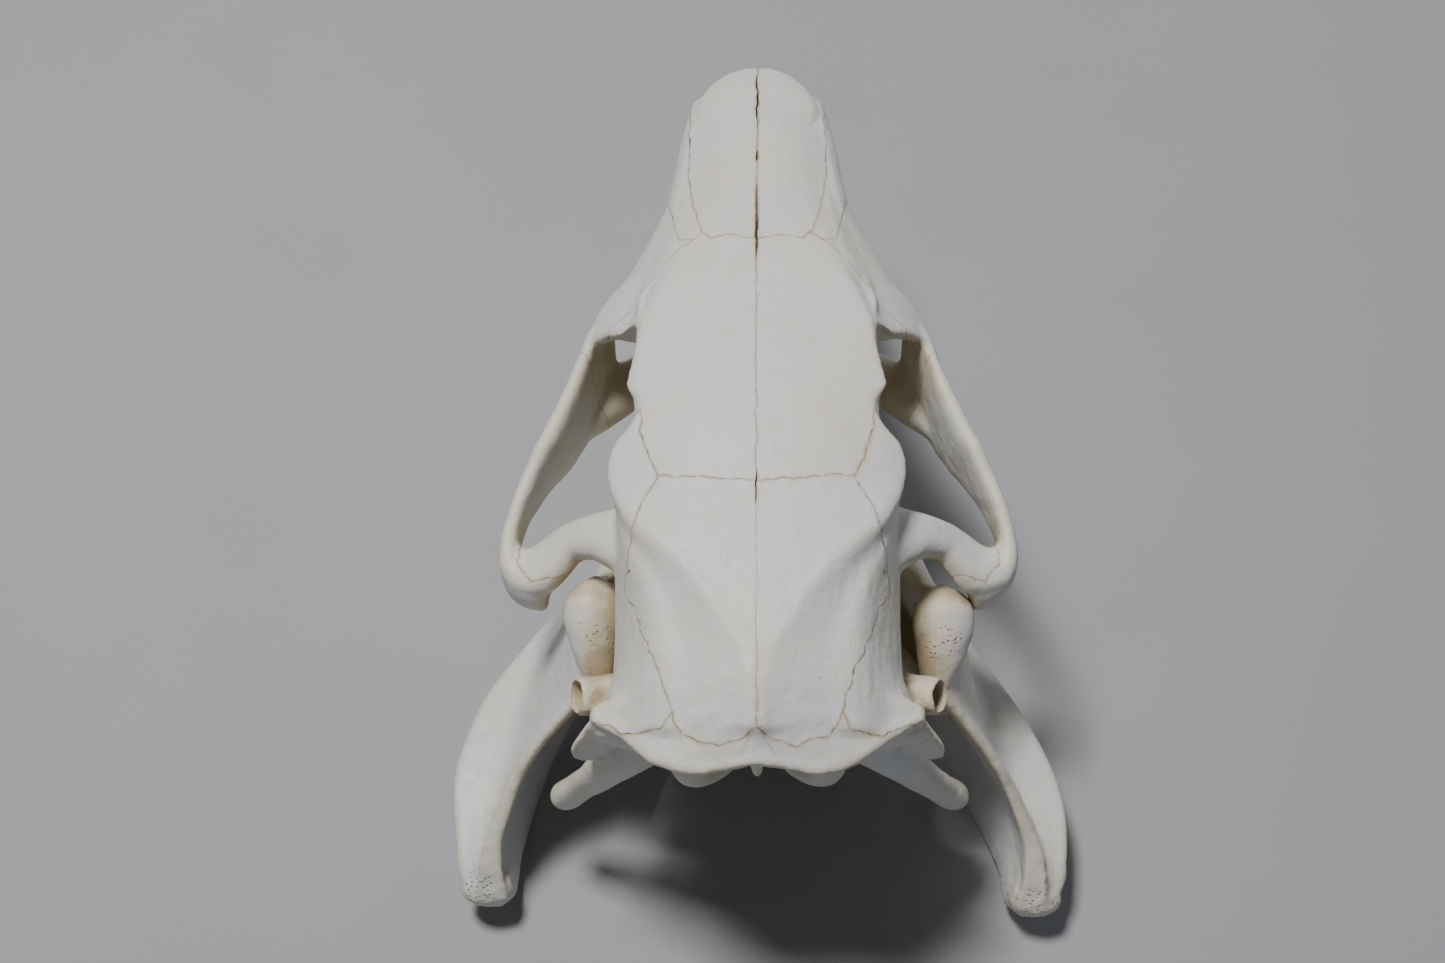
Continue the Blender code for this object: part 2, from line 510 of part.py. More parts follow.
def palate():
    rings = []
    for y in steps(PALATE[0][0], PALATE[-1][0], 3):
        half_width, z = smooth(PALATE, y)
        rings.append(squircle(Vector((0, y, z)), Vector((1, 0, 0)), Vector((0, 0, 1)), half_width, 3.6, 4))
    return loft("palate", rings)


def dorsal_root():
    """The sloping web over the infraorbital opening, with the orbit's bowed front rim."""
    rings = []
    start = DORSAL_ROOT[0][0]
    for y in steps(start, DORSAL_ROOT[-1][0], 1.5):
        ax, az, ox, oz, ux, uz, ix, iz = smooth(DORSAL_ROOT, y)
        outline = [(ax, az), ((ax + ox) / 2, (az + oz) / 2 + 1.2), (ox - 0.8, oz + 0.8), (ox, oz - 2),
                   (ux, uz), ((ux + ix) / 2, (uz + iz) / 2 + 1), (ix, iz)]
        fade = max(0.0, 1 - (y - start) / 14)
        ring = []
        for x, z in rounded(outline):
            bow = max(0.0, 1 - ((x - 34) / 6.5) ** 2) * ORBIT_ARC
            ring.append((x, y + fade * max(-ORBIT_REACH, (oz - z) * 0.75 + bow - 0.5), z))
        rings.append(ring)
    return loft("dorsal_root", domed(rings, END_DOME))


def mastoid_flange():
    rings = []
    for z in steps(FLANGE[0][0], FLANGE[-1][0], 2):
        inner, outer, y = smooth(FLANGE, z)
        outline = [(outer, y), (outer - 0.4, y + 2.2), (outer - 3.5, y + 6.5), (inner, y + 14),
                   (inner - 4, y + 8), (inner + 2, y + 2.4), (outer - 3, y + 1.2)]
        rings.append([(a, b, z) for a, b in rounded(outline, 3)])
    return loft("mastoid_flange", domed(rings, END_DOME))


def row_x(y):
    """Distance of a tooth row's middle from the midline."""
    return ROW_FRONT_X + (ROW_FRONT_Y - y) * ROW_SPREAD


def cheek_teeth(name, teeth, low, high):
    """The cheek teeth of one side, each a rounded block."""
    blocks = []
    for number, (middle, length) in enumerate(teeth):
        ends = (middle + length / 2 - 0.4, middle - length / 2 + 0.4)
        stations = [(row_x(y), y, low, high, TOOTH_WIDTH) for y in ends]
        blocks.append(plate(f"{name}_{number}", stations, power=4))
    return blocks


def nostril():
    """The space of the nostrils, wider above than below, which narrows inwards."""
    rings = []
    for y in steps(NOSTRIL_DEPTH_Y, FAR * 2, 6):
        share = min(1.0, (y - NOSTRIL_DEPTH_Y) / NOSTRIL_RUN)
        wide = NOSTRIL_NARROW + (1 - NOSTRIL_NARROW) * share ** 0.5
        outline = [(x * wide, NOSTRIL_MIDDLE_Z + (z - NOSTRIL_MIDDLE_Z) * wide)
                   for x, z in mirrored_half(NOSTRIL)]
        drop = max(0.0, y - NOSTRIL_DROP_Y) * NOSTRIL_DROP
        rings.append([(x, y, z - drop) for x, z in rounded(outline, 3)])
    return loft("nostril", rings)


def cranium():
    """The whole cranium as one body, with its openings."""
    right = [tooth_block(), plate("arch", ARCH), dorsal_root(), bar("ventral_root", VENTRAL_ROOT),
             bar("squamosal_root", SQUAMOSAL_ROOT, power=2.6), bar("paroccipital", PAROCCIPITAL),
             mastoid_flange(), ball("bulla", (21.5, 33, 60.5), (10, 13.5, 9.5)), bar("ear", EAR_TUBE),
             bar("occipital_condyle", OCCIPITAL_CONDYLE), plate("pterygoid", PTERYGOID),
             ball("arch_corner", (52.8, 52, 77), (4.4, 4.2, 3.8))]
    right += cheek_teeth("upper", UPPER_TEETH, OCCLUSAL_Z, 52)
    pieces = [core(), nuchal_crest(), nasal_dome(), palate(), plate("occipital_spine", OCCIPITAL_SPINE)]
    foramen_magnum = ball("foramen_magnum", (0, 12, 66), (8.6, 15, 8.2))
    choana = ball("choana", (0, 82, 55), (8.5, 20, 6.5))
    ears = with_reflections([bar("ear_hole", EAR_HOLE, power=2)])
    holes = [nostril(), foramen_magnum, choana, *ears]
    return grown_together("cranium", pieces + with_reflections(right), holes, CRANIUM_FACETS)


# ------------------------------------------------------------------ parting the cranium into bones
def outline_grown(outline, distance):
    """The outline, counter-clockwise, moved outwards with mitred corners."""
    grown = []
    for i, corner in enumerate(outline):
        corner = Vector(corner)
        before = (corner - Vector(outline[i - 1])).normalized()
        after = (Vector(outline[(i + 1) % len(outline)]) - corner).normalized()
        normals = [Vector((d.y, -d.x)) for d in (before, after)]
        mitre = (normals[0] + normals[1]).normalized()
        grown.append(corner + mitre * (distance / max(0.4, mitre.dot(normals[0]))))
    return grown


def prism(name, outline, low, high, grow=0.0, slope=None):
    """A tool with an outline in plan, between two heights or above a slope (y, z, y, z)."""
    area = sum(a[0] * b[1] - b[0] * a[1] for a, b in zip(outline, outline[1:] + outline[:1]))
    if area < 0:
        outline = outline[::-1]
    corners = outline_grown(outline, grow)
    lower = []
    for x, y in corners:
        z = low
        if slope:
            y0, z0, y1, z1 = slope
            z = z0 + (y - y0) * (z1 - z0) / (y1 - y0)
        lower.append((x, y, z - grow))
    upper = [(x, y, high + grow) for x, y in corners]
    return loft(name, [lower, upper])


def joined(first, second):
    """The union of two tools, in the first one."""
    if first is None:
        return second
    cut(first, second, "UNION")
    bpy.data.objects.remove(second)
    return first


class Seam:
    """The space that one bone takes: prisms as (outline, low z, high z, slope)."""

    def __init__(self, *prisms):
        self.prisms = prisms

    def tool(self, grow):
        tool = None
        for outline, low, high, slope in self.prisms:
            tool = joined(tool, prism("seam", outline, low, high, grow, slope))
        return tool


PAIRED_BONES = {
    "nasal": Seam((NASAL_SEAM, 0, FAR, NASAL_UNDERSIDE)),
    "jugal": Seam((JUGAL_SEAM, 40, FAR, None)),
    "frontal": Seam((FRONTAL_SEAM, 80, FAR, None)),
    "parietal": Seam((PARIETAL_SEAM, 98, FAR, None)),
    "bulla": Seam((BULLA_SEAM, 40, 67, None), (EAR_SEAM, 50, 78, None)),
    "squamosal": Seam((SQUAMOSAL_SEAM, 72, FAR, None), (SQUAMOSAL_STRIP, 93.5, FAR, None)),
    "premaxilla": Seam((PREMAXILLA_SEAM, 40, FAR, None), (PREMAXILLA_STRIP, 92, FAR, None)),
    "maxilla": Seam((MAXILLA_SEAM, 30, FAR, None), (TOOTH_SEAM, 30, 64, None)),
}
OCCIPITAL = Seam((OCCIPITAL_SEAM, 20, FAR, None))


def copy_of(obj, name):
    bm = bmesh.new()
    bm.from_mesh(obj.data)
    return new_object(name, bm)


def part_bone(rest, name, seam):
    """Takes one bone out of the rest, leaving an open seam round it."""
    bone = copy_of(rest, name)
    tight, wide = seam.tool(0), seam.tool(SUTURE_GAP)
    cut(bone, tight, "INTERSECT")
    cut_away(rest, [wide])
    bpy.data.objects.remove(tight)
    main_body(bone)
    return bone


def whole(half, name):
    """A bone that crosses the midline, from its right half: the cut face is left out."""
    bm = bmesh.new()
    bm.from_mesh(half.data)
    on_plane = [face for face in bm.faces if all(abs(vert.co.x) < 0.01 * MM for vert in face.verts)]
    bmesh.ops.delete(bm, geom=on_plane, context="FACES")
    for vert in bm.verts:
        if abs(vert.co.x) < 0.01 * MM:
            vert.co.x = 0
    bone = new_object(name, bm)
    bpy.data.objects.remove(half)
    mirror = bone.modifiers.new("both_sides", "MIRROR")
    mirror.use_mirror_merge = True
    mirror.merge_threshold = 0.01 * MM
    apply_modifiers(bone)
    main_body(bone)
    return bone


def part_cranium(body):
    """Each bone of the cranium as its own solid, by name."""
    bones = {}
    other_side = box("other_side", (-FAR, -FAR, -FAR), (0, 2 * FAR, FAR))
    cut_away(body, [other_side])
    for name, seam in PAIRED_BONES.items():
        right = part_bone(body, f"{name}_right", seam)
        bones[right.name] = right
        bones[f"{name}_left"] = reflected(right, f"{name}_left")
    half = part_bone(body, "occipital_half", OCCIPITAL)
    bones["occipital"] = whole(half, "occipital")
    main_body(body)
    bones["skull_base"] = whole(body, "skull_base")
    return bones


# ------------------------------------------------------------------ lower jaw
def ramus():
    """The upright plate behind the teeth, with the flared shelf and the drawn-out angle."""
    rings = []
    for y in steps(CREASE[0][0], CREASE[-1][0], 1.5):
        top, crease, shelf, heel = (smooth(guide, y) for guide in (RAMUS_TOP, CREASE, SHELF, HEEL))
        thin, thick = smooth(RAMUS_THICKNESS, y)
        middle = (top + crease) / 2
        outline = [top + Vector((-thin * 0.4, -0.3)), top + Vector((thin * 0.45, -0.6)),
                   middle + Vector((1.2, 1.5)), crease, crease * 0.45 + shelf * 0.55 + Vector((0, -0.3)),
                   shelf + Vector((0, 0.9)), shelf + Vector((0.6, -1.2)), shelf + Vector((-1.4, -3.8)),
                   (shelf + heel) / 2 + Vector((0, -1.2)), heel + Vector((3.2, 0)), heel,
                   heel + Vector((-0.6, 2.5)), crease + Vector((-thick, -3)),
                   middle + Vector((-thin * 0.8, 0))]
        rings.append([(x, y, z) for x, z in rounded(outline, 3)])
    return loft("ramus", rings)


def jaw_body():
    rings = []
    for y in steps(JAW_BODY[0][0], JAW_BODY[-1][0], 2):
        inner, outer, low, high = smooth(JAW_BODY, y)
        centre = Vector(((inner + outer) / 2, y, (low + high) / 2))
        rings.append(squircle(centre, Vector((1, 0, 0)), Vector((0, 0, 1)), (outer - inner) / 2,
                              (high - low) / 2, 2.9, 28))
    return loft("jaw_body", rings)


def mandible():
    """The right half of the lower jaw, with its cheek teeth, flat where it meets its twin and the floor."""
    pieces = [ramus(), jaw_body(), bar("condyle", CONDYLE, flat=(1, 0, 0), power=2),
              plate("coronoid", CORONOID), ball("angle_tip", (68.4, -1, 12.4), (6.8, 4.8, 5.4))]
    pieces += cheek_teeth("lower", LOWER_TEETH, 28, JAW_TEETH_Z)
    other_side = box("other_side", (-FAR, -FAR, -FAR), (MIDLINE, 2 * FAR, FAR))
    ground = box("ground", (-FAR, -FAR, -FAR), (FAR, 2 * FAR, 0))
    bone = grown_together("mandible_right", pieces, [], JAW_FACETS)
    cut_away(bone, [other_side, ground])
    main_body(bone)
    return bone


def bend_jaw(obj):
    """Shifts the jaw's lower half sideways, by the same amount on both sides."""
    for vert in obj.data.vertices:
        share = min(max((BEND_TOP_Z - vert.co.z / MM) / BEND_BLEND, 0), 1)
        vert.co.x += smooth(JAW_BEND, vert.co.y / MM) * MM * share


# ------------------------------------------------------------------ incisors
def incisor(name, arc, side, grow=0.0):
    """One curved incisor, or its socket when grown."""
    cy, cz, radius, depth, width, start, end = arc
    rings = []
    angles = steps(start, end, 8)
    beyond = math.copysign(math.degrees(grow / radius) * 2, start - end)
    angles[0] += beyond
    angles[-1] -= beyond
    for angle in angles:
        turn = math.radians(angle)
        outward = Vector((0, math.cos(turn), math.sin(turn)))
        centre = Vector((side * (width / 2 + MIDLINE), cy, cz)) + outward * radius
        rings.append(squircle(centre, Vector((1, 0, 0)), outward, width / 2 + grow, depth / 2 + grow,
                              3.2, 12))
    return loft(name, rings)


def seat_incisor(name, arc, side, bone):
    """An incisor whose root sits in a socket of its bone."""
    cut_away(bone, [incisor("socket", arc, side, SOCKET_GAP)])
    main_body(bone)
    return incisor(name, arc, side)


# ------------------------------------------------------------------ materials
def principled(name, colour, roughness):
    material = bpy.data.materials.new(name)
    material.use_nodes = True
    shader = material.node_tree.nodes["Principled BSDF"]
    shader.inputs["Base Color"].default_value = (*colour, 1)
    shader.inputs["Roughness"].default_value = roughness
    shader.inputs["Metallic"].default_value = 0
    return material


# ------------------------------------------------------------------ the skull
for old in list(bpy.data.objects):
    bpy.data.objects.remove(old)
scene_collection = bpy.context.scene.collection
workshop = bpy.data.collections.new("workshop")
scene_collection.children.link(workshop)
skull = bpy.data.collections.new("capybara_skull")
scene_collection.children.link(skull)

upper = part_cranium(cranium())
jaw = {"mandible_right": mandible()}
jaw["mandible_left"] = reflected(jaw["mandible_right"], "mandible_left")
for sign, word in ((1, "right"), (-1, "left")):
    name = f"upper_incisor_{word}"
    upper[name] = seat_incisor(name, UPPER_INCISOR, sign, upper[f"premaxilla_{word}"])
    name = f"lower_incisor_{word}"
    jaw[name] = seat_incisor(name, LOWER_INCISOR, sign, jaw[f"mandible_{word}"])

roll_axis = Matrix.Translation((0, 0, ROLL_HEIGHT * MM))
roll = roll_axis @ Matrix.Rotation(math.radians(CRANIUM_ROLL), 4, "Y") @ roll_axis.inverted()
for obj in upper.values():
    obj.data.transform(roll)
for obj in jaw.values():
    bend_jaw(obj)

bone_white = principled("bone", (0.80, 0.78, 0.71), 0.55)
enamel = principled("enamel", (0.86, 0.83, 0.74), 0.3)
for name, obj in {**upper, **jaw}.items():
    obj.data.transform(Matrix.Translation((-BODY_CENTRE_X * MM, -BODY_CENTRE_Y * MM, 0)))
    obj.data.materials.clear()
    obj.data.materials.append((enamel if "incisor" in name else bone_white).copy())
    obj.data.materials[0].name = f"{name}_finish"
    workshop.objects.unlink(obj)
    skull.objects.link(obj)
    obj.name = name
bpy.data.collections.remove(workshop)
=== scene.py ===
"""Looks of the capybara skull, around its packed bones.

The bones are modelled again with a fine grain, from the same guides, and then finished: surface
relief, wavy sutures, foramina, ridged cheek teeth and the finish of bone and enamel.
Guides are in millimetres in the skull's own frame: x to the animal's right, y forward from the
occipital condyles to the snout, z up from the ground under the lower jaw. The cranium is built
level, and then settled on the jaw with the small roll that it lies with.
"""
import math

import bmesh
import bpy
import numpy as np
from mathutils import Matrix, Vector
from mathutils.bvhtree import BVHTree
from mathutils.kdtree import KDTree


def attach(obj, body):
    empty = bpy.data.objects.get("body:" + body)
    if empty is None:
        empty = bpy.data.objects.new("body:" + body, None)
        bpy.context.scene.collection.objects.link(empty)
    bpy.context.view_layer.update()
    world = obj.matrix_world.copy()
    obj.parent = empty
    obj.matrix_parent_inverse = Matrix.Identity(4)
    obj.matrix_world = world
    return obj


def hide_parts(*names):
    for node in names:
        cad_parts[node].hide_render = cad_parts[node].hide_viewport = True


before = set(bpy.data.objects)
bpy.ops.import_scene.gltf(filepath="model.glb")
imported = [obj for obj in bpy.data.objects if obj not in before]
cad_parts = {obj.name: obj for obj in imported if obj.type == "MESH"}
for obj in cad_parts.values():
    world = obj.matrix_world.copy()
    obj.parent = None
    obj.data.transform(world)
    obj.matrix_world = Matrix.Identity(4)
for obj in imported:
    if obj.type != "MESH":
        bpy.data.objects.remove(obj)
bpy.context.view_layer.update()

MM = 0.001
SIDEWAYS, UPWARDS = Vector((1, 0, 0)), Vector((0, 0, 1))

# ---- driving dimensions (mm)
NASAL_TIP_Y = 201.0         # tip of the nasal bones
OCCLUSAL_Z = 41.0           # plane of the upper cheek teeth
JAW_TEETH_Z = 37.6          # plane of the lower cheek teeth
SUTURE_GAP = 0.05           # open seam between two bones
BODY_CENTRE_Y = 97.3        # skull-frame y that becomes the model's origin
BODY_CENTRE_X = 0.55        # skull-frame x that becomes the model's origin
CRANIUM_ROLL = -3.2         # degrees, about the long axis
ROLL_HEIGHT = 25.0          # height of that axis

SECTION_STEP = 1.5          # between the sections of a finely shaped body
PATH_STEP = 2.0             # between the sections of bars and plates
VOXEL = 0.55                # grain of the unions
TOOTH_VOXEL = 0.3           # grain of the cheek teeth
END_DOME = 1.8              # how far the ends of bars and plates bulge
SNOUT_DOME = 4.0            # how far the snout's end bulges
FILLET = 1.5                # radius that fills inner corners
SOFTENING = 8               # rounds of smoothing after that

# ---- finer details (mm)
# gaps of the midline suture: (y, half sizes, tilt in degrees)
MIDLINE_GAPS = [(134.5, (0.42, 15, 3), -14), (160.5, (0.3, 2.6, 2.5), -16), (185, (0.27, 14, 3), -18),
                (56, (0.2, 6, 1.2), -3)]
SQUAMOSAL_SLIT = [(28.1, 37.8, 104.6, 0.1, 0.8), (27.2, 35, 105.2, 0.34, 1.8),
                  (26.1, 32, 105.8, 0.12, 0.9)]
# thin stained lines in plan (x, y, x, y): along the sagittal crest, then out to the nuchal crest's lobes
STAIN_LINES = [(0.5, 18.5, 0.45, 3.6), (-0.5, 18.5, -0.45, 3.6), (0.45, 3.6, 1.8, 1.6),
               (1.8, 1.6, 3.7, -0.7), (-0.45, 3.6, -1.8, 1.6), (-1.8, 1.6, -3.7, -0.7)]
LINE_STAIN, LINE_STRENGTH = 0.5, 0.6        # how far the stain of such a line reaches, and its value
LINES_ABOVE_Z = 95.0        # they are only on the roof
# (centre, reach, share) of sutures that are nearly closed, on both sides
CLOSED_SEAMS = [((0, 38, 112), (3, 20, 14), 0.95), ((0, 95, 113), (3, 34, 12), 0.45),
                ((46, 92, 80), (14, 30, 22), 0.7), ((24, 132, 92), (9, 34, 34), 0.85)]
# (x, y, low z, high z, thickness) of the wall between the nostrils
SEPTUM = [(0, 156, 66, 83, 1.1), (0, 170, 63, 86.5, 1.2), (0, 183, 63, 84, 1), (0, 187, 64, 74, 0.8)]
# openings as (centre, half sizes), and perhaps a tilt: the spinal cord's and the inner nose's, the edge
# of the ear's, and those of vessels and nerves
FORAMEN_MAGNUM, CHOANA = ((0, 12, 66), (8.6, 15, 8.2)), ((0, 82, 55), (8.5, 20, 6.5))
EAR_NOTCH = ((45.4, 23.4, 79), (3.4, 1.5, 3.4), -25)
FORAMINA = [((28.3, 41.5, 105), (0.3, 0.4, 1.5)), ((17.2, 8, 106), (0.22, 1.7, 1.2)),
            ((2.4, 158, 49.6), (1.4, 9, 4)), ((5.5, 121, 50), (1.1, 1.8, 3)),
            ((9, 69, 60), (1.6, 2.6, 3))]
JAW_FORAMINA = [((14.6, 147, 20), (2.2, 1.3, 1.1)), ((40, 63, 44), (1.8, 2.4, 1.6)),
                ((24.5, 118, 12), (1.2, 0.7, 0.6))]
# (centre, reach) of thin-skinned bone, on the condyle's rear face and the angle's tip
POROUS_PLACES = [((41.5, 40, 74), (8, 4.5, 6)), ((70, -2, 14), (8, 6, 9)), ((63, 2, 6), (5, 8, 5))]
LAMINA_WIDTH = 9.7          # of a cheek tooth's enamel plates
LAMINA_BOW = 0.9            # how far they bow forwards
LAMINA_PITCH = 2.35         # from one of them to the next
UPPER_ROOT_Z, LOWER_ROOT_Z = 50.0, 28.5     # where they end inside the bone
CEMENT_SUNK = 0.7           # how far the cement between them lies below their rims
INCISOR_GAP = 0.08          # from the midline to an incisor
INCISOR_STEPS, INCISOR_POINTS = 26, 36      # sections of an incisor, and points around each
INCISOR_POWER = 0.62        # how round a section is, from 0 for a box to 1 for an ellipse
GROOVE_DEPTH, GROOVE_WIDTH = 0.55, 1.3      # of the furrow down an incisor's front
FEWEST_POINTS = 1000        # of a bone that was cut without fault
PLANE_REACH = 0.002         # how far from the midline's plane a point of the cut may lie
CUT_TRIES = (0, 0.003, 0.006, 0.009)    # how much wider each new try of a cut is
SHARP_ANGLE = 42            # degrees
SEAM_STAIN = 0.45           # how far a suture's stain reaches
HOLLOW_ROUNDS = 14          # of the smoothing that finds dents
HOLLOW_GAIN = 2.2           # what a dent adds to 'hollow', for each mm
# shelter: every so many points, how far the rays go, how many there are, and how far off the surface
# they start and the result counts
SHELTER_STRIDE, SHELTER_REACH, RAYS = 41, 26.0, 22
RAY_START, SIDE_REACH = 2.2, 3.0

# ---- colours (linear) and light
BONE_COOL, BONE_WARM = (0.70, 0.72, 0.735), (0.745, 0.72, 0.65)
BONE_CREAM, BONE_CHALK = (0.72, 0.655, 0.51), (0.82, 0.82, 0.80)
# the brown is painted shade, partly real stain, for places that the skull shelters; the tan serves for
# specks and, as painted shade, in fine dents
BONE_SHADE_AND_STAIN, BONE_TAN = (0.40, 0.31, 0.17), (0.52, 0.40, 0.23)
BONE_SEAM = (0.43, 0.30, 0.135)
ENAMEL_WHITE, ENAMEL_CREAM = (0.80, 0.78, 0.70), (0.74, 0.68, 0.53)
DENTINE, CEMENT = (0.62, 0.52, 0.36), (0.36, 0.27, 0.16)
FLOOR_COLOUR, FLOOR_SHADE = (0.40, 0.41, 0.43), (0.37, 0.38, 0.40)
SKY_COLOUR, SKY_STRENGTH = (0.80, 0.85, 0.92), 0.09
FLOOR_SIZE = 6.0            # metres, from its middle to its edge
LIT_POINT = (0, 0, 0.05)    # what the lamps are aimed at (m)
# square lamps: (name, place, size, power, colour)
LAMPS = [("key", (-0.3, 0.1, 1.15), 0.22, 13.5, (1, 0.985, 0.96)),
         ("front", (0.6, 1.0, 0.5), 0.7, 2.2, (0.95, 0.97, 1))]

# ---- the camera, in the skull's frame
CAMERA_POSITION = (3.556, -163.43, 498.72)
CAMERA_RIGHT = (0.99877, 0.04963, 0.0)
CAMERA_UP = (-0.04294, 0.86422, 0.50127)
CAMERA_TURN = 0.04699       # radians, about its line of sight
CAMERA_LENS, CAMERA_SENSOR = 50.0, 36.0


# ---- guides of the cranium
# (y, z) of the roof's midline, from the nuchal crest to the nasal tip
ROOF = [(-3, 102.2), (5, 106.2), (18, 111.6), (40, 114.7), (58, 116.2), (75, 117.3), (90, 117.4),
        (110, 115), (128, 111.9), (140, 108.8), (160, 103), (180, 97.5), (192, 93.6), (201, 89.8)]
# (y, x, z) of the roof's edge: temporal line, squamosal lobe, orbital notch and spur, nasal edge
EDGE = [(8, 3, 106.6), (18, 3, 111.2), (26.5, 7.8, 112.6), (38.3, 16.5, 113.8), (50.6, 27.9, 111.8),
        (62.9, 33.2, 108.7), (67, 33.8, 108.7), (71, 32.9, 109.7), (74.5, 29.2, 111.9), (78, 26.7, 113.1),
        (80, 26.4, 113.3), (84, 28.6, 112.7), (85.5, 30, 112.2), (88, 29.5, 112.6), (96, 27.6, 113.4),
        (104, 26.6, 112.8), (110, 24, 112.4), (117, 21.5, 111.2), (128, 18.6, 108.2), (140, 16.6, 104.4),
        (154, 15.6, 99.4), (170, 15.5, 94.6), (182, 14.6, 91.4), (190, 13, 89.4)]
# (y, x, z) of the slope under that edge
SLOPE = [(8, 24, 100), (25, 24, 104.8), (35, 25.5, 106.2), (45, 29, 105.2), (58, 32, 101.5),
         (64, 32.4, 105), (74, 28, 107.6), (85, 27.6, 109.3), (104, 27.6, 109.2), (112, 28.4, 106.8),
         (120, 27, 103.4), (140, 22.9, 98.4), (154, 21, 95.6), (170, 19.2, 91.8), (190, 16.8, 88)]
# (y, x, z) of the wall: braincase side, inner wall of the orbit, side of the snout
WALL = [(8, 36.6, 86), (15, 35.4, 86), (25, 32.6, 86), (45, 32.6, 88), (58, 31, 91.5), (64, 28.6, 93),
        (70, 24.5, 94), (78, 20, 95), (90, 18, 95), (105, 17.5, 93), (115, 19, 90), (125, 21.5, 90),
        (140, 23, 89.5), (154, 22.9, 88.5), (163, 21.8, 86.5), (173, 20.8, 85), (190, 17.6, 83)]
# (y, x, z) of the lower flank and of the edge of the underside
FLANK = [(8, 30, 72), (25, 29.5, 70), (45, 27.5, 71), (65, 20, 74), (78, 17.5, 74), (105, 16.5, 72),
         (120, 18, 70), (150, 18, 67), (170, 17, 65), (190, 15, 62)]
FLOOR = [(8, 13, 59), (35, 13, 57), (55, 11, 60), (70, 10, 60), (90, 12, 56), (120, 13, 55),
         (140, 12, 52), (160, 11, 50.5), (190, 10.5, 51)]
# (y, half width, depth under the roof's line) of the nasal bones' overhanging vault
NASAL_DOME = [(168, 13, 1.2), (178, 14.4, 0.7), (186, 15.8, 0.1), (201, 15.9, 0)]
# (y, shift) of a section's lower part, forward, for each LEAN_DEPTH below LEAN_TOP_Z
LEAN = [(8, 12), (16, 7), (26, 2), (36, 0), (150, 0), (170, 2.5), (190, 7.5)]
LEAN_TOP_Z, LEAN_DEPTH = 92.0, 38.0

# (x, y, z) along the nuchal crest, and (x, z) of the roof 13 mm in front of it
CREST = [(0, -2.8, 102.5), (5.9, -3.3, 101), (13, -4.1, 99.6), (22, -1, 98), (29, 5.1, 96),
         (36.8, 10.6, 93.6)]
CREST_ROOT = [(0, 109.6), (10, 106.6), (22, 101.2), (36.8, 94)]
CREST_TAPER_X = 26.0        # from there outwards it gets thinner
# (z, inner x, outer x, outer y) of the flange from the nuchal corner down to the mastoid corner
FLANGE = [(69.5, 28, 38.5, 11), (73, 29, 41.6, 9.6), (77.4, 30, 42.1, 9.4), (82, 30, 40.6, 9.4),
          (88, 30, 38.2, 10), (93, 29, 35.8, 10.6), (98, 22, 27.5, 13)]

# (y, inner x, outer x, low z, high z) of the tooth-bearing block, and (y, half width, z) of the palate
TOOTH_BLOCK = [(64, 14, 19.5, 52, 62), (70, 14, 23.4, 47, 66), (80, 13.2, 25.8, 46.8, 66),
               (110, 7.8, 21.5, 46.8, 66), (137, 3.2, 17, 46.8, 66), (143, 3, 14.5, 48.5, 64)]
PALATE = [(84, 10, 53.4), (92, 11.5, 52.4), (130, 7, 52.4), (150, 8, 53), (165, 8, 53.4)]

# cheek arch: upright plates as (x, y, low z, high z, thickness), bars as (x, y, z, half sizes)
ARCH = [(38.0, 120, 66, 89.5, 4.5), (40.3, 114, 60, 92.3, 5.5), (43.0, 106, 60, 91.5, 5),
        (45.7, 98, 62.5, 90.5, 5.3), (48.8, 90, 66, 89.5, 5.5), (52.3, 82.2, 69.5, 88.6, 4.9),
        (54.9, 76, 71.5, 87, 4.8), (57.0, 70, 73, 86, 4.2), (58.7, 63.5, 73.5, 84.5, 4),
        (59.1, 57.5, 73, 83.5, 4.2), (57.5, 53.2, 71.5, 82, 4.8), (54.3, 51, 70.5, 80, 5.6),
        (51.2, 50, 70.8, 77, 4.6)]
VENTRAL_ROOT = [(10, 126, 57.5, 12, 9.6), (16.5, 125.6, 58, 10.4, 8.6), (22, 124.2, 59, 8, 7.2),
                (31, 119.5, 62.4, 6.3, 6.2), (37, 113.5, 64.6, 6.4, 6), (42, 106.5, 66.5, 5.4, 5.8),
                (45, 100, 68, 3, 4.5)]
SQUAMOSAL_ROOT = [(25, 56.5, 93.6, 12.8, 6.4), (29.5, 56.2, 93.2, 9.6, 5.8), (33.5, 57, 92, 7, 4.9),
                  (37.5, 58.4, 89.8, 5.5, 4.3), (43, 59.2, 85.8, 4.8, 3.9), (47.5, 57, 82.4, 5.8, 3.8),
                  (51.6, 54.6, 79.8, 6.4, 3.9), (56.6, 54.4, 78.6, 4.6, 3.8)]
# (y, then x and z of the frontal side, outer edge, underside and snout side) of the dorsal root
DORSAL_ROOT = [(111.5, 26, 112.2, 40.8, 92.6, 39.6, 84, 22, 94),
               (118, 21.8, 109.8, 40, 91.4, 38, 83, 19, 90),
               (124, 20.1, 108.1, 36.9, 92, 34.6, 84.5, 17, 88),
               (130, 18.7, 106.3, 32.9, 92.3, 31, 86, 17, 88),
               (137, 17.6, 104, 29.7, 92.2, 28.2, 87.2, 16, 88),
               (145, 16.8, 101.4, 26.5, 92, 25.4, 88.6, 16, 88),
               (153.5, 16, 98.4, 23.2, 91.8, 22.8, 90, 15, 88)]
ORBIT_ARC = 3.2             # how far the orbit's front rim bows forward
ORBIT_REACH = 7.5           # how far its upper end lies behind the first of these sections
ORBIT_X, ORBIT_HALF_WIDTH = 34.0, 6.5       # where it bows most, and how far the bow goes on both sides
ORBIT_FADE = 14.0           # how far in front of the rim its shape is felt

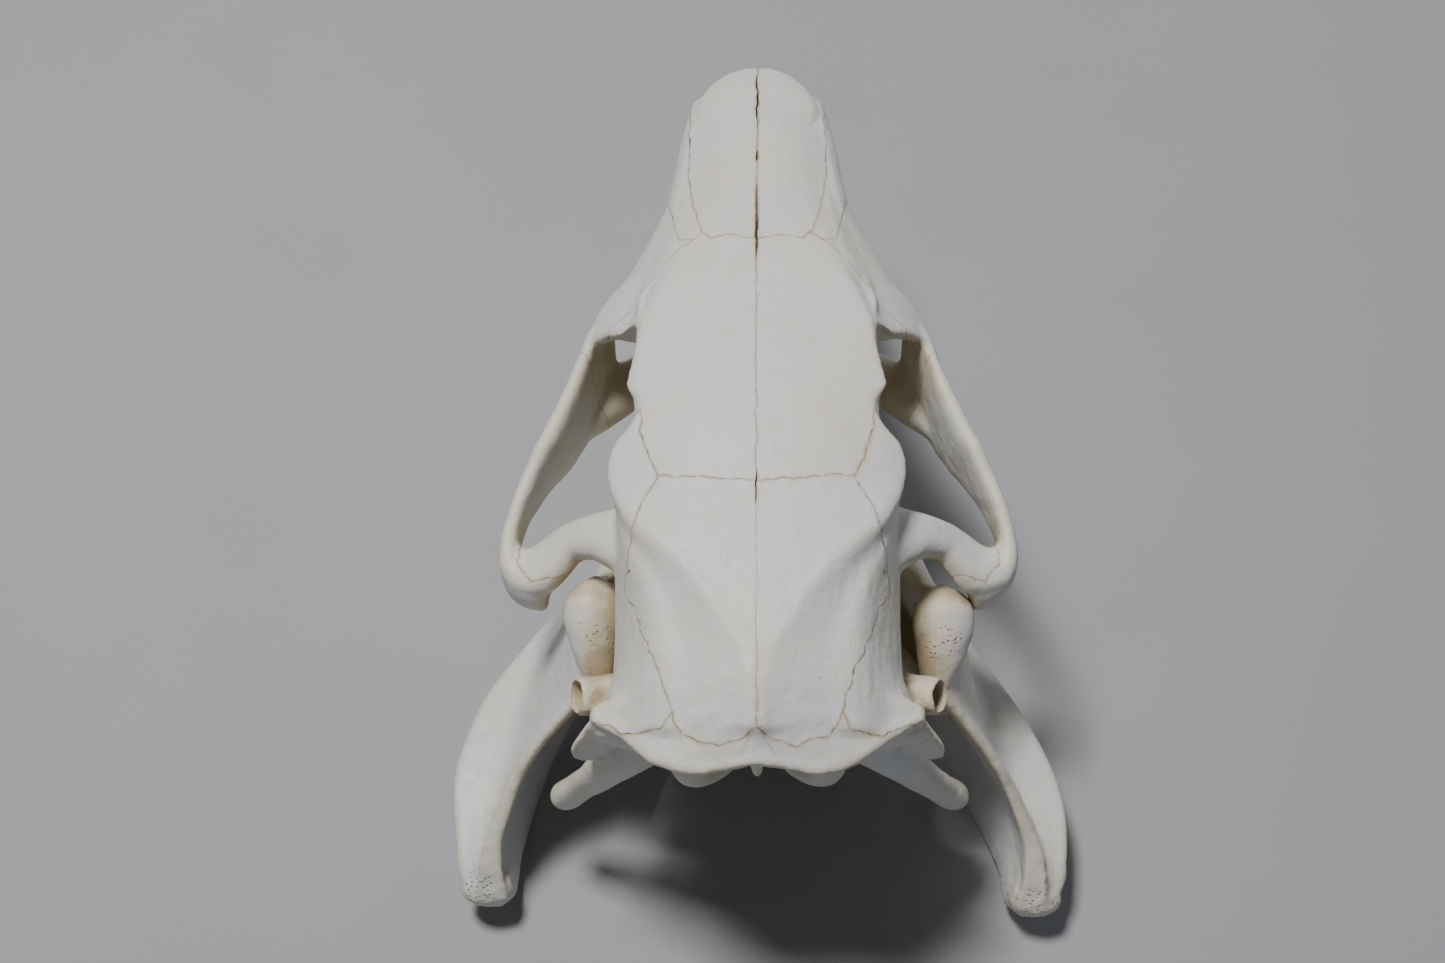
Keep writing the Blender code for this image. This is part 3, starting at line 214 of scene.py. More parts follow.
# (centre, half sizes) of the ear bone's bulge and of the arch's rear corner
BULLA, ARCH_CORNER = ((21.5, 33, 60.5), (10, 13.5, 9.5)), ((52.8, 52, 77), (4.4, 4.2, 3.8))
# processes of the skull's rear and base
PAROCCIPITAL = [(23, 15.5, 77, 5.5, 9), (28, 14.2, 71, 4.6, 7.6), (33, 13.2, 63.5, 3.6, 6),
                (38, 13.4, 54.5, 3.1, 5), (43, 14, 46, 3.2, 4.3), (46.5, 14.4, 40, 3.5, 4.2),
                (48, 14.4, 37.8, 3.3, 3.6)]
OCCIPITAL_CONDYLE = [(15.4, 15.5, 75, 3, 3.2), (16, 12.8, 69.5, 5, 4.7), (15.4, 12.4, 64, 5, 4.7),
                     (12.6, 14, 59.4, 4.6, 4.2), (8.4, 16.5, 57, 3.6, 3.6)]
PTERYGOID = [(13.5, 74, 48, 64, 3.6), (12, 64, 47.5, 63, 3.4), (10.8, 55, 48.5, 62, 3.2),
             (11.6, 47, 51, 60, 3)]
EAR_TUBE = [(24, 31, 64, 5, 5), (31, 29, 68.2, 4.8, 4.8), (37, 26.6, 71.6, 4.7, 4.7),
            (41.2, 25.4, 73.6, 4.6, 4.6)]
EAR_HOLE = [(33, 28, 69.3, 2.2, 2.2), (38, 26.4, 72.2, 2.7, 2.7), (40.6, 25.5, 73.4, 3.6, 3.6),
            (46, 24.2, 76, 4.2, 4.2)]
# (x, z) of the right half of the nostrils' opening, from its top
NOSTRIL = [(0, 87.6), (7.5, 87), (12, 82.5), (11.4, 74), (8.4, 65.5), (3.6, 62.4), (0, 62)]
NOSTRIL_DEPTH_Y, NOSTRIL_RUN = 154.0, 34.0      # its end inside, and the way on which it narrows
NOSTRIL_MIDDLE_Z, NOSTRIL_NARROW = 75.0, 0.45   # the height it narrows to, and its share left there
NOSTRIL_DROP_Y, NOSTRIL_DROP = 188.0, 0.32      # in front of there it drops by this slope
NASAL_STRAIGHT_Y = 185.0    # from there on the nasal vault rounds off
OCCIPITAL_SPINE = [(0, 0, 88.5, 102, 2.2), (0, 5, 86, 103, 3), (0, 12, 80, 104, 5)]

# ---- guides of the lower jaw
# (y, x, z): rear border and top of the ramus, crease over the shelf, shelf edge and lower inner edge
RAMUS_TOP = [(-5, 67.5, 14), (0, 67.6, 21), (5, 67.4, 25.5), (11, 64, 31), (16, 61, 37), (20.5, 57.2, 44),
             (26.5, 49, 55), (32, 41.3, 65), (40, 41.2, 69), (48, 41.3, 73), (54, 41, 71), (62, 38.5, 62.5),
             (72, 35.6, 60), (79, 33, 57.5), (86, 30.2, 48), (94, 27, 39), (104, 23.5, 31),
             (116, 18.6, 28), (128, 13.5, 25)]
CREASE = [(-5, 69.5, 14.5), (0, 70, 19.6), (6, 69.3, 21), (12, 68, 22), (20, 65, 23), (33, 60.6, 27),
          (48, 56, 32), (54, 53, 34), (62, 48.5, 36), (72, 42.5, 36), (80, 38.5, 34), (92, 32.6, 30),
          (104, 26.6, 26), (116, 20.8, 23), (128, 14.5, 20)]
SHELF = [(-5, 71.6, 12.5), (-1.5, 73.6, 14.6), (3, 75.3, 16.3), (10, 76.1, 17.8), (20, 76.8, 19),
         (29, 75.5, 20), (36, 72.9, 21.5), (43, 69.6, 23.5), (50, 64.8, 25.5), (60, 56.9, 28.8),
         (66, 52.2, 29.8), (74, 46, 29.3), (88, 36.6, 26), (104, 27.6, 21), (116, 21.6, 18), (128, 15, 16)]
HEEL = [(-5, 65, 9), (0, 62.2, 6), (8, 61.8, 3.2), (15, 60.6, 0.9), (22, 58.7, -0.7), (28, 56.8, -1.1),
        (34, 54.2, 0.4), (41, 50.4, 4), (48, 46.4, 7), (54, 43, 8.2), (62, 37.5, 7.5), (72, 31, 5),
        (88, 21, 1.5), (104, 15.4, 1), (116, 11.4, 1.8), (128, 7, 4)]
# (y, plate thickness at the top, plate thickness at the crease)
RAMUS_THICKNESS = [(-5, 7, 6), (6, 4.5, 5), (12, 3.6, 4.6), (20, 3, 4.4), (33, 4.6, 4.8), (41, 8, 5),
                   (48, 8, 5.6), (54, 5.4, 6), (72, 5, 8), (88, 6, 10), (104, 6, 9), (128, 4, 5)]
# (y, inner x, outer x, low z, high z) of the body that carries the teeth
JAW_BODY = [(42, 46, 50, 25, 31), (50, 37.5, 46, 20, 33.5), (60, 27, 38.5, 13.5, 34.6),
            (72, 17.6, 31, 7, 34.6), (85, 12.5, 26.8, 2, 34.2),
            (100, 9.5, 23.6, -0.8, 34), (115, 6.5, 20.5, -1.1, 34), (128, 3.8, 17.6, -0.8, 33.6),
            (136, 1.4, 15.8, 1, 32.6), (146, -0.6, 14.2, 4, 30.6), (158, -1.2, 12.8, 9, 30.4),
            (168, -1.2, 11.7, 15.5, 31.6), (175.5, -1, 10.5, 22.5, 34)]
CONDYLE = [(41, 52.8, 75.4, 2.4, 1.8), (41, 51.2, 76.1, 5, 3.6), (41, 48.2, 75.4, 7.1, 5.2),
           (41.1, 44.4, 73, 7.3, 5.6), (41, 40.6, 70.4, 6.3, 5.1), (40.4, 37, 67.6, 5.1, 4.2),
           (39.9, 33.5, 64.6, 3.5, 3)]
CORONOID = [(35, 66, 56, 62.6, 3.6), (34.4, 72, 52, 64.5, 4.2), (33.6, 77, 50, 66.4, 4),
            (32.6, 80.5, 48, 63, 3.6), (31.2, 84, 42, 57, 3.6)]
ANGLE_TIP = ((68.4, -1, 12.4), (6.8, 4.8, 5.4))     # centre, half sizes
# (y, sideways shift) of the jaw's lower half, which isn't quite the same on both sides
JAW_BEND = [(-5, 1.3), (8, 1.2), (30, -0.4), (52, -1.8), (75, -0.8), (105, 0)]
BEND_TOP_Z, BEND_BLEND = 60.0, 30.0     # it starts at this height and is full this far below it

# ---- teeth
# cheek teeth as (middle y, length); their row runs outwards to the rear
UPPER_TEETH = [(131, 10.4), (119.2, 10.8), (107, 11.2), (85.6, 28.6)]
LOWER_TEETH = [(127.5, 11), (115, 11.4), (102.8, 11.4), (84, 23.4)]
ROW_FRONT_Y, ROW_FRONT_X, ROW_SPREAD = 137.0, 10.1, 0.177
# incisors as arcs: (centre y, centre z, radius, depth, width, from angle, to angle), and the share of
# the arc on which the tip isn't yet worn
UPPER_INCISOR = (163, 38, 30.5, 8, 9, 36, -20, 0.8)
LOWER_INCISOR = (134, 62, 47, 7.5, 8.6, -50, -19.5, 0.72)


# ---- seams, as outlines in plan (x, y)
MIDLINE = SUTURE_GAP / 2
NASAL_SEAM = [(MIDLINE, 127.6), (6.4, 129.2), (11.2, 129.1), (13.2, 131.8), (15.8, 144.7), (17.5, 159.7),
              (17.6, 181), (17.6, 215), (MIDLINE, 215)]
JUGAL_SEAM = [(38, 103.5), (47.5, 113.5), (72, 108), (72, 40), (44, 40), (45, 51.4), (53, 50.2),
              (56.4, 55), (55.4, 65), (46, 77), (36, 95)]
FRONTAL_SEAM = [(MIDLINE, 58.3), (8, 58.9), (16.8, 60.4), (21.8, 61), (24.9, 69.4), (26.2, 74),
                (26.2, 78.6), (36, 78.6), (36, 109.5), (28.8, 113.5), (22, 124), (13.4, 131.2),
                (11, 131), (MIDLINE, 130)]
PARIETAL_SEAM = [(MIDLINE, 3.4), (3.5, 1.9), (8, 0.9), (12, 2.3), (15.5, 3.4), (17.6, 6.6),
                 (18.9, 10.6), (21.9, 19.5), (24.5, 24.7), (26.5, 32.5), (29.5, 38.9), (28.6, 44.8),
                 (25.7, 53.8), (21.8, 61), (21.8, 64), (MIDLINE, 64)]
BULLA_SEAM = [(10.5, 18.5), (34, 18.5), (34, 47.5), (10.5, 47.5)]
EAR_SEAM = [(31.5, 21), (48, 18), (48, 37), (31.5, 36)]
SQUAMOSAL_SEAM = [(10, 17), (36.4, 17), (45, 20), (64, 40), (64, 82), (10, 82)]
SQUAMOSAL_STRIP = [(18, 9), (20.2, 5.4), (26.9, 5.5), (32, 8.8), (36, 10.2), (37, 19), (15, 19)]
PREMAXILLA_SEAM = [(MIDLINE, 151), (23, 155), (40, 160), (40, 215), (MIDLINE, 215)]
PREMAXILLA_STRIP = [(11.5, 128.5), (19, 130.8), (22.6, 153), (23, 160), (12, 160)]
MAXILLA_SEAM = [(MIDLINE, 88.5), (30, 88.5), (52, 98), (60, 130), (40, 165), (MIDLINE, 165)]
TOOTH_SEAM = [(12.6, 60), (32, 60), (32, 90), (12.6, 90)]
OCCIPITAL_SEAM = [(-60, -20), (60, -20), (60, 23), (-60, 23)]

FAR = 130.0                 # beyond the skull on every side
NASAL_UNDERSIDE = (128, 105.5, 200, 83.0)   # a slope: y, z, y, z


# ---- small tools
def smooth(guide, t):
    """The values of a guide, whose rows start with a rising station, at station t: monotone cubic."""
    stations = [row[0] for row in guide]
    t = min(max(t, stations[0]), stations[-1])
    k = max(i for i in range(len(guide) - 1) if stations[i] <= t)
    width = stations[k + 1] - stations[k]
    u = (t - stations[k]) / width
    values = []
    for column in range(1, len(guide[0])):
        slopes = [slope_at(guide, i, column) for i in (k, k + 1)]
        a, b = guide[k][column], guide[k + 1][column]
        values.append((1 + 2 * u) * (1 - u) ** 2 * a + u * (1 - u) ** 2 * width * slopes[0]
                      + u * u * (3 - 2 * u) * b + u * u * (u - 1) * width * slopes[1])
    return Vector(values) if len(values) > 1 else values[0]


def slope_at(guide, i, column):
    """A guide's slope at its row i, flat where the guide turns."""
    def chord(j):
        return (guide[j + 1][column] - guide[j][column]) / (guide[j + 1][0] - guide[j][0])
    if i == 0:
        return chord(0)
    if i == len(guide) - 1:
        return chord(i - 1)
    before, after = chord(i - 1), chord(i)
    if before * after <= 0:
        return 0
    h0, h1 = guide[i][0] - guide[i - 1][0], guide[i + 1][0] - guide[i][0]
    return 3 * (h0 + h1) / ((2 * h1 + h0) / before + (h1 + 2 * h0) / after)


def steps(start, end, spacing):
    """Evenly spaced stations from start to end."""
    count = max(1, round(abs(end - start) / spacing))
    return [start + (end - start) * i / count for i in range(count + 1)]


def stations_of(guide, spacing):
    """Evenly spaced stations from a guide's first to its last."""
    return steps(guide[0][0], guide[-1][0], spacing)


def rounded(points, per_side=4):
    """A closed smooth ring through the points (Catmull-Rom)."""
    p = [Vector(q) for q in points]
    ring = []
    for i in range(len(p)):
        a, b, c, d = p[i - 1], p[i], p[(i + 1) % len(p)], p[(i + 2) % len(p)]
        for k in range(per_side):
            u = k / per_side
            ring.append(0.5 * (2 * b + (c - a) * u + (2 * a - 5 * b + 4 * c - d) * u * u
                               + (3 * b - a - 3 * c + d) * u ** 3))
    return ring


def mirrored_half(half):
    """The full outline of a half that runs from the top of the midline to its bottom."""
    return half + [(-x, z) for x, z in half[-2:0:-1]]


def squircle(centre, side, up, a, b, power, count=20):
    """A rounded box or ellipse with half sizes a and b along the directions side and up."""
    ring = []
    for k in range(count):
        turn = 2 * math.pi * k / count
        c, s = math.cos(turn), math.sin(turn)
        ring.append(centre + side * (math.copysign(abs(c) ** (2 / power), c) * a)
                    + up * (math.copysign(abs(s) ** (2 / power), s) * b))
    return ring


def new_object(name, bm):
    """An object in the building collection, from a bmesh that is used up."""
    mesh = bpy.data.meshes.new(name)
    bm.to_mesh(mesh)
    bm.free()
    obj = bpy.data.objects.new(name, mesh)
    workshop.objects.link(obj)
    return obj


def loft(name, rings):
    """A closed skin over rings of equal count, given in millimetres."""
    bm = bmesh.new()
    rows = [[bm.verts.new(Vector(point) * MM) for point in ring] for ring in rings]
    count = len(rows[0])
    for a, b in zip(rows, rows[1:]):
        for i in range(count):
            j = (i + 1) % count
            bm.faces.new((a[i], a[j], b[j], b[i]))
    bm.faces.new(rows[0])
    bm.faces.new(rows[-1])
    bmesh.ops.recalc_face_normals(bm, faces=bm.faces)
    return new_object(name, bm)


def domed(rings, depth):
    """The rings with smaller ones beyond both ends, so that the body ends round."""
    ends = []
    for last, inner in ((rings[0], rings[1]), (rings[-1], rings[-2])):
        centre, behind = (sum((Vector(p) for p in ring), Vector((0, 0, 0))) / len(ring)
                          for ring in (last, inner))
        outward = (centre - behind).normalized()
        ends.append([[centre + (Vector(p) - centre) * math.cos(turn) + outward * (depth * math.sin(turn))
                      for p in last] for turn in (0.5, 0.95, 1.3)])
    return ends[0][::-1] + rings + ends[1]


def measured(stations, dims):
    """The stations as a guide over the distance along their first dims coordinates."""
    guide, distance = [], 0.0
    for i, row in enumerate(stations):
        if i:
            distance += math.dist(row[:dims], stations[i - 1][:dims])
        guide.append((distance, *row))
    return guide


def along(guide, t, dims):
    """The unit direction of a measured guide at distance t."""
    ahead = smooth(guide, min(t + 0.5, guide[-1][0]))
    behind = smooth(guide, max(t - 0.5, 0))
    return Vector([ahead[i] - behind[i] if i < dims else 0 for i in range(3)]).normalized()


def plate(name, stations, power=3.0):
    """An upright plate along a plan path: rows (x, y, low z, high z, thickness)."""
    guide = measured(stations, 2)
    rings = []
    for t in stations_of(guide, PATH_STEP):
        x, y, low, high, thickness = smooth(guide, t)
        forward = along(guide, t, 2)
        side = Vector((forward.y, -forward.x, 0))
        rings.append(squircle(Vector((x, y, (low + high) / 2)), side, UPWARDS, thickness / 2,
                              (high - low) / 2, power))
    return loft(name, domed(rings, END_DOME))


def bar(name, stations, flat=(0, 1, 0), power=2.2):
    """A bar along a path: rows (x, y, z, half size along flat, half size across)."""
    guide = measured(stations, 3)
    rings = []
    for t in stations_of(guide, PATH_STEP):
        x, y, z, a, b = smooth(guide, t)
        forward = along(guide, t, 3)
        side = Vector(flat)
        side = (side - forward * side.dot(forward)).normalized()
        rings.append(squircle(Vector((x, y, z)), side, forward.cross(side), a, b, power))
    return loft(name, domed(rings, END_DOME))


def ball(name, centre, radii, tilt=0.0):
    """An ellipsoid, tilted about the x axis."""
    bm = bmesh.new()
    bmesh.ops.create_uvsphere(bm, u_segments=24, v_segments=14, radius=1)
    size = Matrix.Diagonal((*[r * MM for r in radii], 1))
    turn = Matrix.Rotation(math.radians(tilt), 4, "X")
    bmesh.ops.transform(bm, verts=bm.verts, matrix=Matrix.Translation(Vector(centre) * MM) @ turn @ size)
    return new_object(name, bm)


def box(name, low, high):
    """A box between two corners."""
    bm = bmesh.new()
    bmesh.ops.create_cube(bm, size=1)
    low, high = Vector(low) * MM, Vector(high) * MM
    size = Matrix.Diagonal((*(high - low), 1))
    bmesh.ops.transform(bm, verts=bm.verts, matrix=Matrix.Translation((low + high) / 2) @ size)
    return new_object(name, bm)


def gathered(objects):
    """One bmesh of the objects, which are used up."""
    bm = bmesh.new()
    for obj in objects:
        bm.from_mesh(obj.data)
        bpy.data.objects.remove(obj)
    return bm


def balls(name, rows):
    """A ball for each row (centre, half sizes, and perhaps a tilt)."""
    return [ball(f"{name}_{number}", *row) for number, row in enumerate(rows)]


def in_one(tools):
    """Tools that don't touch each other, as one tool."""
    return new_object("tools", gathered(tools))


def reflected(obj, name):
    """A mirror image on the animal's other side."""
    bm = bmesh.new()
    bm.from_mesh(obj.data)
    for vert in bm.verts:
        vert.co.x = -vert.co.x
    bmesh.ops.reverse_faces(bm, faces=bm.faces)
    return new_object(name, bm)


def with_reflections(objects):
    """The objects and their mirror images."""
    return objects + [reflected(obj, obj.name + "_other") for obj in objects]


def apply_modifiers(obj):
    """The object's mesh becomes what its modifiers make of it."""
    depsgraph = bpy.context.evaluated_depsgraph_get()
    depsgraph.update()
    mesh = bpy.data.meshes.new_from_object(obj.evaluated_get(depsgraph))
    obj.modifiers.clear()
    old = obj.data
    obj.data = mesh
    bpy.data.meshes.remove(old)


def modify(obj, kind, **settings):
    """Adds a modifier."""
    modifier = obj.modifiers.new(kind, kind)
    for name, value in settings.items():
        setattr(modifier, name, value)


def remesh(obj, size):
    modify(obj, "REMESH", mode="VOXEL", voxel_size=size * MM)


def offset_surface(obj, distance):
    modify(obj, "DISPLACE", strength=distance * MM, mid_level=0)


def cut(obj, tool, operation="DIFFERENCE"):
    """A boolean with a tool that is used up."""
    modify(obj, "BOOLEAN", operation=operation, object=tool)
    apply_modifiers(obj)
    bpy.data.objects.remove(tool)


# ---- cranium
def core():
    """Roof, braincase, inner orbit walls and snout, in sections across the midline."""
    rings = []
    for y in stations_of(LEAN, SECTION_STEP):
        roof = smooth(ROOF, y)
        (ex, ez), (sx, sz), (wx, wz), (fx, fz), (bx, bz) = (
            smooth(guide, y) for guide in (EDGE, SLOPE, WALL, FLANK, FLOOR))
        half = [(0, roof), (ex * 0.4, roof - (roof - ez) * 0.13), (ex * 0.74, roof - (roof - ez) * 0.5),
                (ex, ez), ((ex + sx) / 2, (ez + sz) / 2), (sx, sz), (wx, wz), (fx, fz),
                ((fx + bx) / 2, (fz + 2 * bz) / 3), (bx * 0.7, bz - 0.4), (0, bz - 0.6)]
        lean = smooth(LEAN, y) / LEAN_DEPTH
        rings.append([(x, y + lean * (LEAN_TOP_Z - z), z) for x, z in rounded(mirrored_half(half))])
    return loft("core", domed(rings, SNOUT_DOME))


def nuchal_crest():
    """The scalloped crest that overhangs the back of the skull."""
    rings = []
    for x in steps(-CREST[-1][0], CREST[-1][0], SECTION_STEP):
        y, z = smooth(CREST, abs(x))
        rise = smooth(CREST_ROOT, abs(x)) - z
        size = 1 - 0.75 * max(0.0, (abs(x) - CREST_TAPER_X) / (CREST[-1][0] - CREST_TAPER_X))
        outline = [(0, -0.2), (2.5, 0.9), (7, rise * 2 / 3 - 0.6), (13, rise - 0.4), (15, rise - 8),
                   (9, -9), (4, -6), (1, -2.8)]
        rings.append([(x, y + a * size, z + b * size) for a, b in rounded(outline)])
    return loft("nuchal_crest", rings)


def nasal_dome():
    """The nasal bones' vault, whose rounded end overhangs the nostrils."""
    rings = []
    for y in steps(NASAL_DOME[0][0], NASAL_TIP_Y, SECTION_STEP):
        width, sunk = smooth(NASAL_DOME, y)
        taper = max(0.0, (y - NASAL_STRAIGHT_Y) / (NASAL_TIP_Y + 0.4 - NASAL_STRAIGHT_Y))
        w = width * math.sqrt(1 - taper * taper)
        top = smooth(ROOF, y) - sunk
        drop = 5 * (w / width) ** 2
        half = [(0, top), (w * 0.5, top - drop * 0.18), (w * 0.85, top - drop * 0.6),
                (w, top - drop - 0.3), (w * 0.9, top - drop - 3), (w * 0.5, top - 5.5), (0, top - 5)]
        rings.append([(x, y, z) for x, z in rounded(mirrored_half(half))])
    return loft("nasal_dome", rings)


def tooth_block():
    """The part of the right upper jaw that holds the cheek teeth."""
    rings = []
    for y in stations_of(TOOTH_BLOCK, 2):
        inner, outer, low, high = smooth(TOOTH_BLOCK, y)
        middle = (low + high) / 2
        outline = [(inner + 1, high), (inner, middle), (inner, low + 2), (inner + 1, low),
                   ((inner + outer) / 2, low - 0.2), (outer - 1, low), (outer, low + 2.5),
                   (outer - 1.5, middle), (outer - 7, high)]
        rings.append([(x, y, z) for x, z in rounded(outline, 3)])
    return loft("tooth_block", rings)


def palate():
    rings = []
    for y in stations_of(PALATE, 3):
        half_width, z = smooth(PALATE, y)
        rings.append(squircle(Vector((0, y, z)), SIDEWAYS, UPWARDS, half_width, 3.6, 4))
    return loft("palate", rings)


def dorsal_root():
    """The sloping web over the infraorbital opening, with the orbit's bowed front rim."""
    rings = []
    for y in stations_of(DORSAL_ROOT, SECTION_STEP):
        ax, az, ox, oz, ux, uz, ix, iz = smooth(DORSAL_ROOT, y)
        outline = [(ax, az), ((ax + ox) / 2, (az + oz) / 2 + 1.2), (ox - 0.8, oz + 0.8), (ox, oz - 2),
                   (ux, uz), ((ux + ix) / 2, (uz + iz) / 2 + 1), (ix, iz)]
        fade = max(0.0, 1 - (y - DORSAL_ROOT[0][0]) / ORBIT_FADE)
        ring = []
        for x, z in rounded(outline):
            bow = max(0.0, 1 - ((x - ORBIT_X) / ORBIT_HALF_WIDTH) ** 2) * ORBIT_ARC
            ring.append((x, y + fade * max(-ORBIT_REACH, (oz - z) * 0.75 + bow - 0.5), z))
        rings.append(ring)
    return loft("dorsal_root", domed(rings, END_DOME))


def mastoid_flange():
    rings = []
    for z in stations_of(FLANGE, 2):
        inner, outer, y = smooth(FLANGE, z)
        outline = [(outer, y), (outer - 0.4, y + 2.2), (outer - 3.5, y + 6.5), (inner, y + 14),
                   (inner - 4, y + 8), (inner + 2, y + 2.4), (outer - 3, y + 1.2)]
        rings.append([(a, b, z) for a, b in rounded(outline, 3)])
    return loft("mastoid_flange", domed(rings, END_DOME))


def row_x(y):
    """Distance of a tooth row's middle from the midline."""
    return ROW_FRONT_X + (ROW_FRONT_Y - y) * ROW_SPREAD


def nostril():
    """The space of the nostrils, wider above than below, which narrows inwards."""
    rings = []
    for y in steps(NOSTRIL_DEPTH_Y, FAR * 2, 6):
        share = min(1.0, (y - NOSTRIL_DEPTH_Y) / NOSTRIL_RUN)
        wide = NOSTRIL_NARROW + (1 - NOSTRIL_NARROW) * share ** 0.5
        outline = [(x * wide, NOSTRIL_MIDDLE_Z + (z - NOSTRIL_MIDDLE_Z) * wide)
                   for x, z in mirrored_half(NOSTRIL)]
        drop = max(0.0, y - NOSTRIL_DROP_Y) * NOSTRIL_DROP
        rings.append([(x, y, z - drop) for x, z in rounded(outline, 3)])
    return loft("nostril", rings)


def cranium():
    """The whole cranium as one body, with its openings."""
    right = [tooth_block(), plate("arch", ARCH), dorsal_root(), bar("ventral_root", VENTRAL_ROOT),
             bar("squamosal_root", SQUAMOSAL_ROOT, power=2.6), bar("paroccipital", PAROCCIPITAL),
             mastoid_flange(), ball("bulla", *BULLA), bar("ear", EAR_TUBE),
             bar("occipital_condyle", OCCIPITAL_CONDYLE), plate("pterygoid", PTERYGOID),
             ball("arch_corner", *ARCH_CORNER)]
    pieces = [core(), nuchal_crest(), nasal_dome(), palate(), plate("occipital_spine", OCCIPITAL_SPINE)]
    passages = balls("passage", [FORAMEN_MAGNUM, CHOANA])
    ears = with_reflections([bar("ear_hole", EAR_HOLE, power=2)])
    vessels = [bar("slit", SQUAMOSAL_SLIT, flat=(1, 0, 0)), *balls("foramen", [EAR_NOTCH, *FORAMINA])]
    holes = [nostril(), *passages, *ears, in_one(with_reflections(vessels))]
    return body_of("cranium", pieces + with_reflections(right), holes, cranium_relief)


# ---- parting the cranium into bones
def outline_grown(outline, distance):
    """The outline, counter-clockwise, moved outwards with mitred corners."""
    grown = []
    for i, corner in enumerate(outline):
        corner = Vector(corner)
        before = (corner - Vector(outline[i - 1])).normalized()
        after = (Vector(outline[(i + 1) % len(outline)]) - corner).normalized()
        normals = [Vector((d.y, -d.x)) for d in (before, after)]
        mitre = (normals[0] + normals[1]).normalized()
        grown.append(corner + mitre * (distance / max(0.4, mitre.dot(normals[0]))))
    return grown


def prism(grow, outline, low, high, slope=None):
    """A tool with an outline in plan, between two heights or above a slope (y, z, y, z)."""
    area = sum(a[0] * b[1] - b[0] * a[1] for a, b in zip(outline, outline[1:] + outline[:1]))
    corners = outline_grown(outline[::-1] if area < 0 else outline, grow)
    lower = []
    for x, y in corners:
        z = low
        if slope:
            y0, z0, y1, z1 = slope
            z = z0 + (y - y0) * (z1 - z0) / (y1 - y0)
        lower.append((x, y, z - grow))
    return loft("seam", [lower, [(x, y, high + grow) for x, y in corners]])


def seam_tool(prisms, grow):
    """The space that one bone takes: prisms as (outline, low z, high z, slope under it or nothing)."""
    tool, *others = [prism(grow, *row) for row in prisms]
    for other in others:
        cut(tool, other, "UNION")
    return tool


# Each bone's space: prisms as (outline, low z, high z, slope of the underside). The first bones to be
# cut out take what the later outlines also cover.
SEAMS = {
    "nasal": [(NASAL_SEAM, 0, FAR, NASAL_UNDERSIDE)],
    "jugal": [(JUGAL_SEAM, 40, FAR)],
    "frontal": [(FRONTAL_SEAM, 80, FAR)],
    "parietal": [(PARIETAL_SEAM, 98, FAR)],
    "bulla": [(BULLA_SEAM, 40, 67), (EAR_SEAM, 50, 78)],
    "squamosal": [(SQUAMOSAL_SEAM, 72, FAR), (SQUAMOSAL_STRIP, 93.5, FAR)],
    "premaxilla": [(PREMAXILLA_SEAM, 40, FAR), (PREMAXILLA_STRIP, 92, FAR)],
    "maxilla": [(MAXILLA_SEAM, 30, FAR), (TOOTH_SEAM, 30, 64)],
    "occipital": [(OCCIPITAL_SEAM, 20, FAR)],
}


def copy_of(obj, name):
    bm = bmesh.new()
    bm.from_mesh(obj.data)
    return new_object(name, bm)


# ---- lower jaw
def ramus():
    """The upright plate behind the teeth, with the flared shelf and the drawn-out angle."""
    rings = []
    for y in stations_of(CREASE, SECTION_STEP):
        top, crease, shelf, heel = (smooth(guide, y) for guide in (RAMUS_TOP, CREASE, SHELF, HEEL))
        thin, thick = smooth(RAMUS_THICKNESS, y)
        middle = (top + crease) / 2
        outline = [top + Vector((-thin * 0.4, -0.3)), top + Vector((thin * 0.45, -0.6)),
                   middle + Vector((1.2, 1.5)), crease, crease * 0.45 + shelf * 0.55 + Vector((0, -0.3)),
                   shelf + Vector((0, 0.9)), shelf + Vector((0.6, -1.2)), shelf + Vector((-1.4, -3.8)),
                   (shelf + heel) / 2 + Vector((0, -1.2)), heel + Vector((3.2, 0)), heel,
                   heel + Vector((-0.6, 2.5)), crease + Vector((-thick, -3)),
                   middle + Vector((-thin * 0.8, 0))]
        rings.append([(x, y, z) for x, z in rounded(outline, 3)])
    return loft("ramus", rings)


def jaw_body():
    rings = []
    for y in stations_of(JAW_BODY, 2):
        inner, outer, low, high = smooth(JAW_BODY, y)
        centre = Vector(((inner + outer) / 2, y, (low + high) / 2))
        rings.append(squircle(centre, SIDEWAYS, UPWARDS, (outer - inner) / 2, (high - low) / 2, 2.9, 28))
    return loft("jaw_body", rings)


def mandible():
    """The right half of the lower jaw, flat where it meets its twin and the floor."""
    pieces = [ramus(), jaw_body(), bar("condyle", CONDYLE, flat=(1, 0, 0), power=2),
              plate("coronoid", CORONOID), ball("angle_tip", *ANGLE_TIP)]
    holes = [in_one(balls("jaw_foramen", JAW_FORAMINA)),
             box("other_side", (-FAR, -FAR, -FAR), (MIDLINE, 2 * FAR, FAR)),
             box("ground", (-FAR, -FAR, -FAR), (FAR, 2 * FAR, 0))]
    return body_of("mandible_right", pieces, holes, jaw_relief)


def bend_jaw(obj):
    """Shifts the jaw's lower half sideways, by the same amount on both sides."""
    points = vertex_array(obj.data) / MM
    stations = stations_of(JAW_BEND, 1)
    shifts = [smooth(JAW_BEND, y) for y in stations]
    share = np.clip((BEND_TOP_Z - points[:, 2]) / BEND_BLEND, 0, 1)
    points[:, 0] += np.interp(points[:, 1], stations, shifts) * share
    set_vertices(obj.data, points * MM)


# ---- fine grain
def values_of(elements, name, width=1, kind=np.float32):
    """A value of each of a mesh's elements, as an array."""
    values = np.empty(len(elements) * width, kind)
    elements.foreach_get(name, values)
    return values.reshape(-1, width) if width > 1 else values


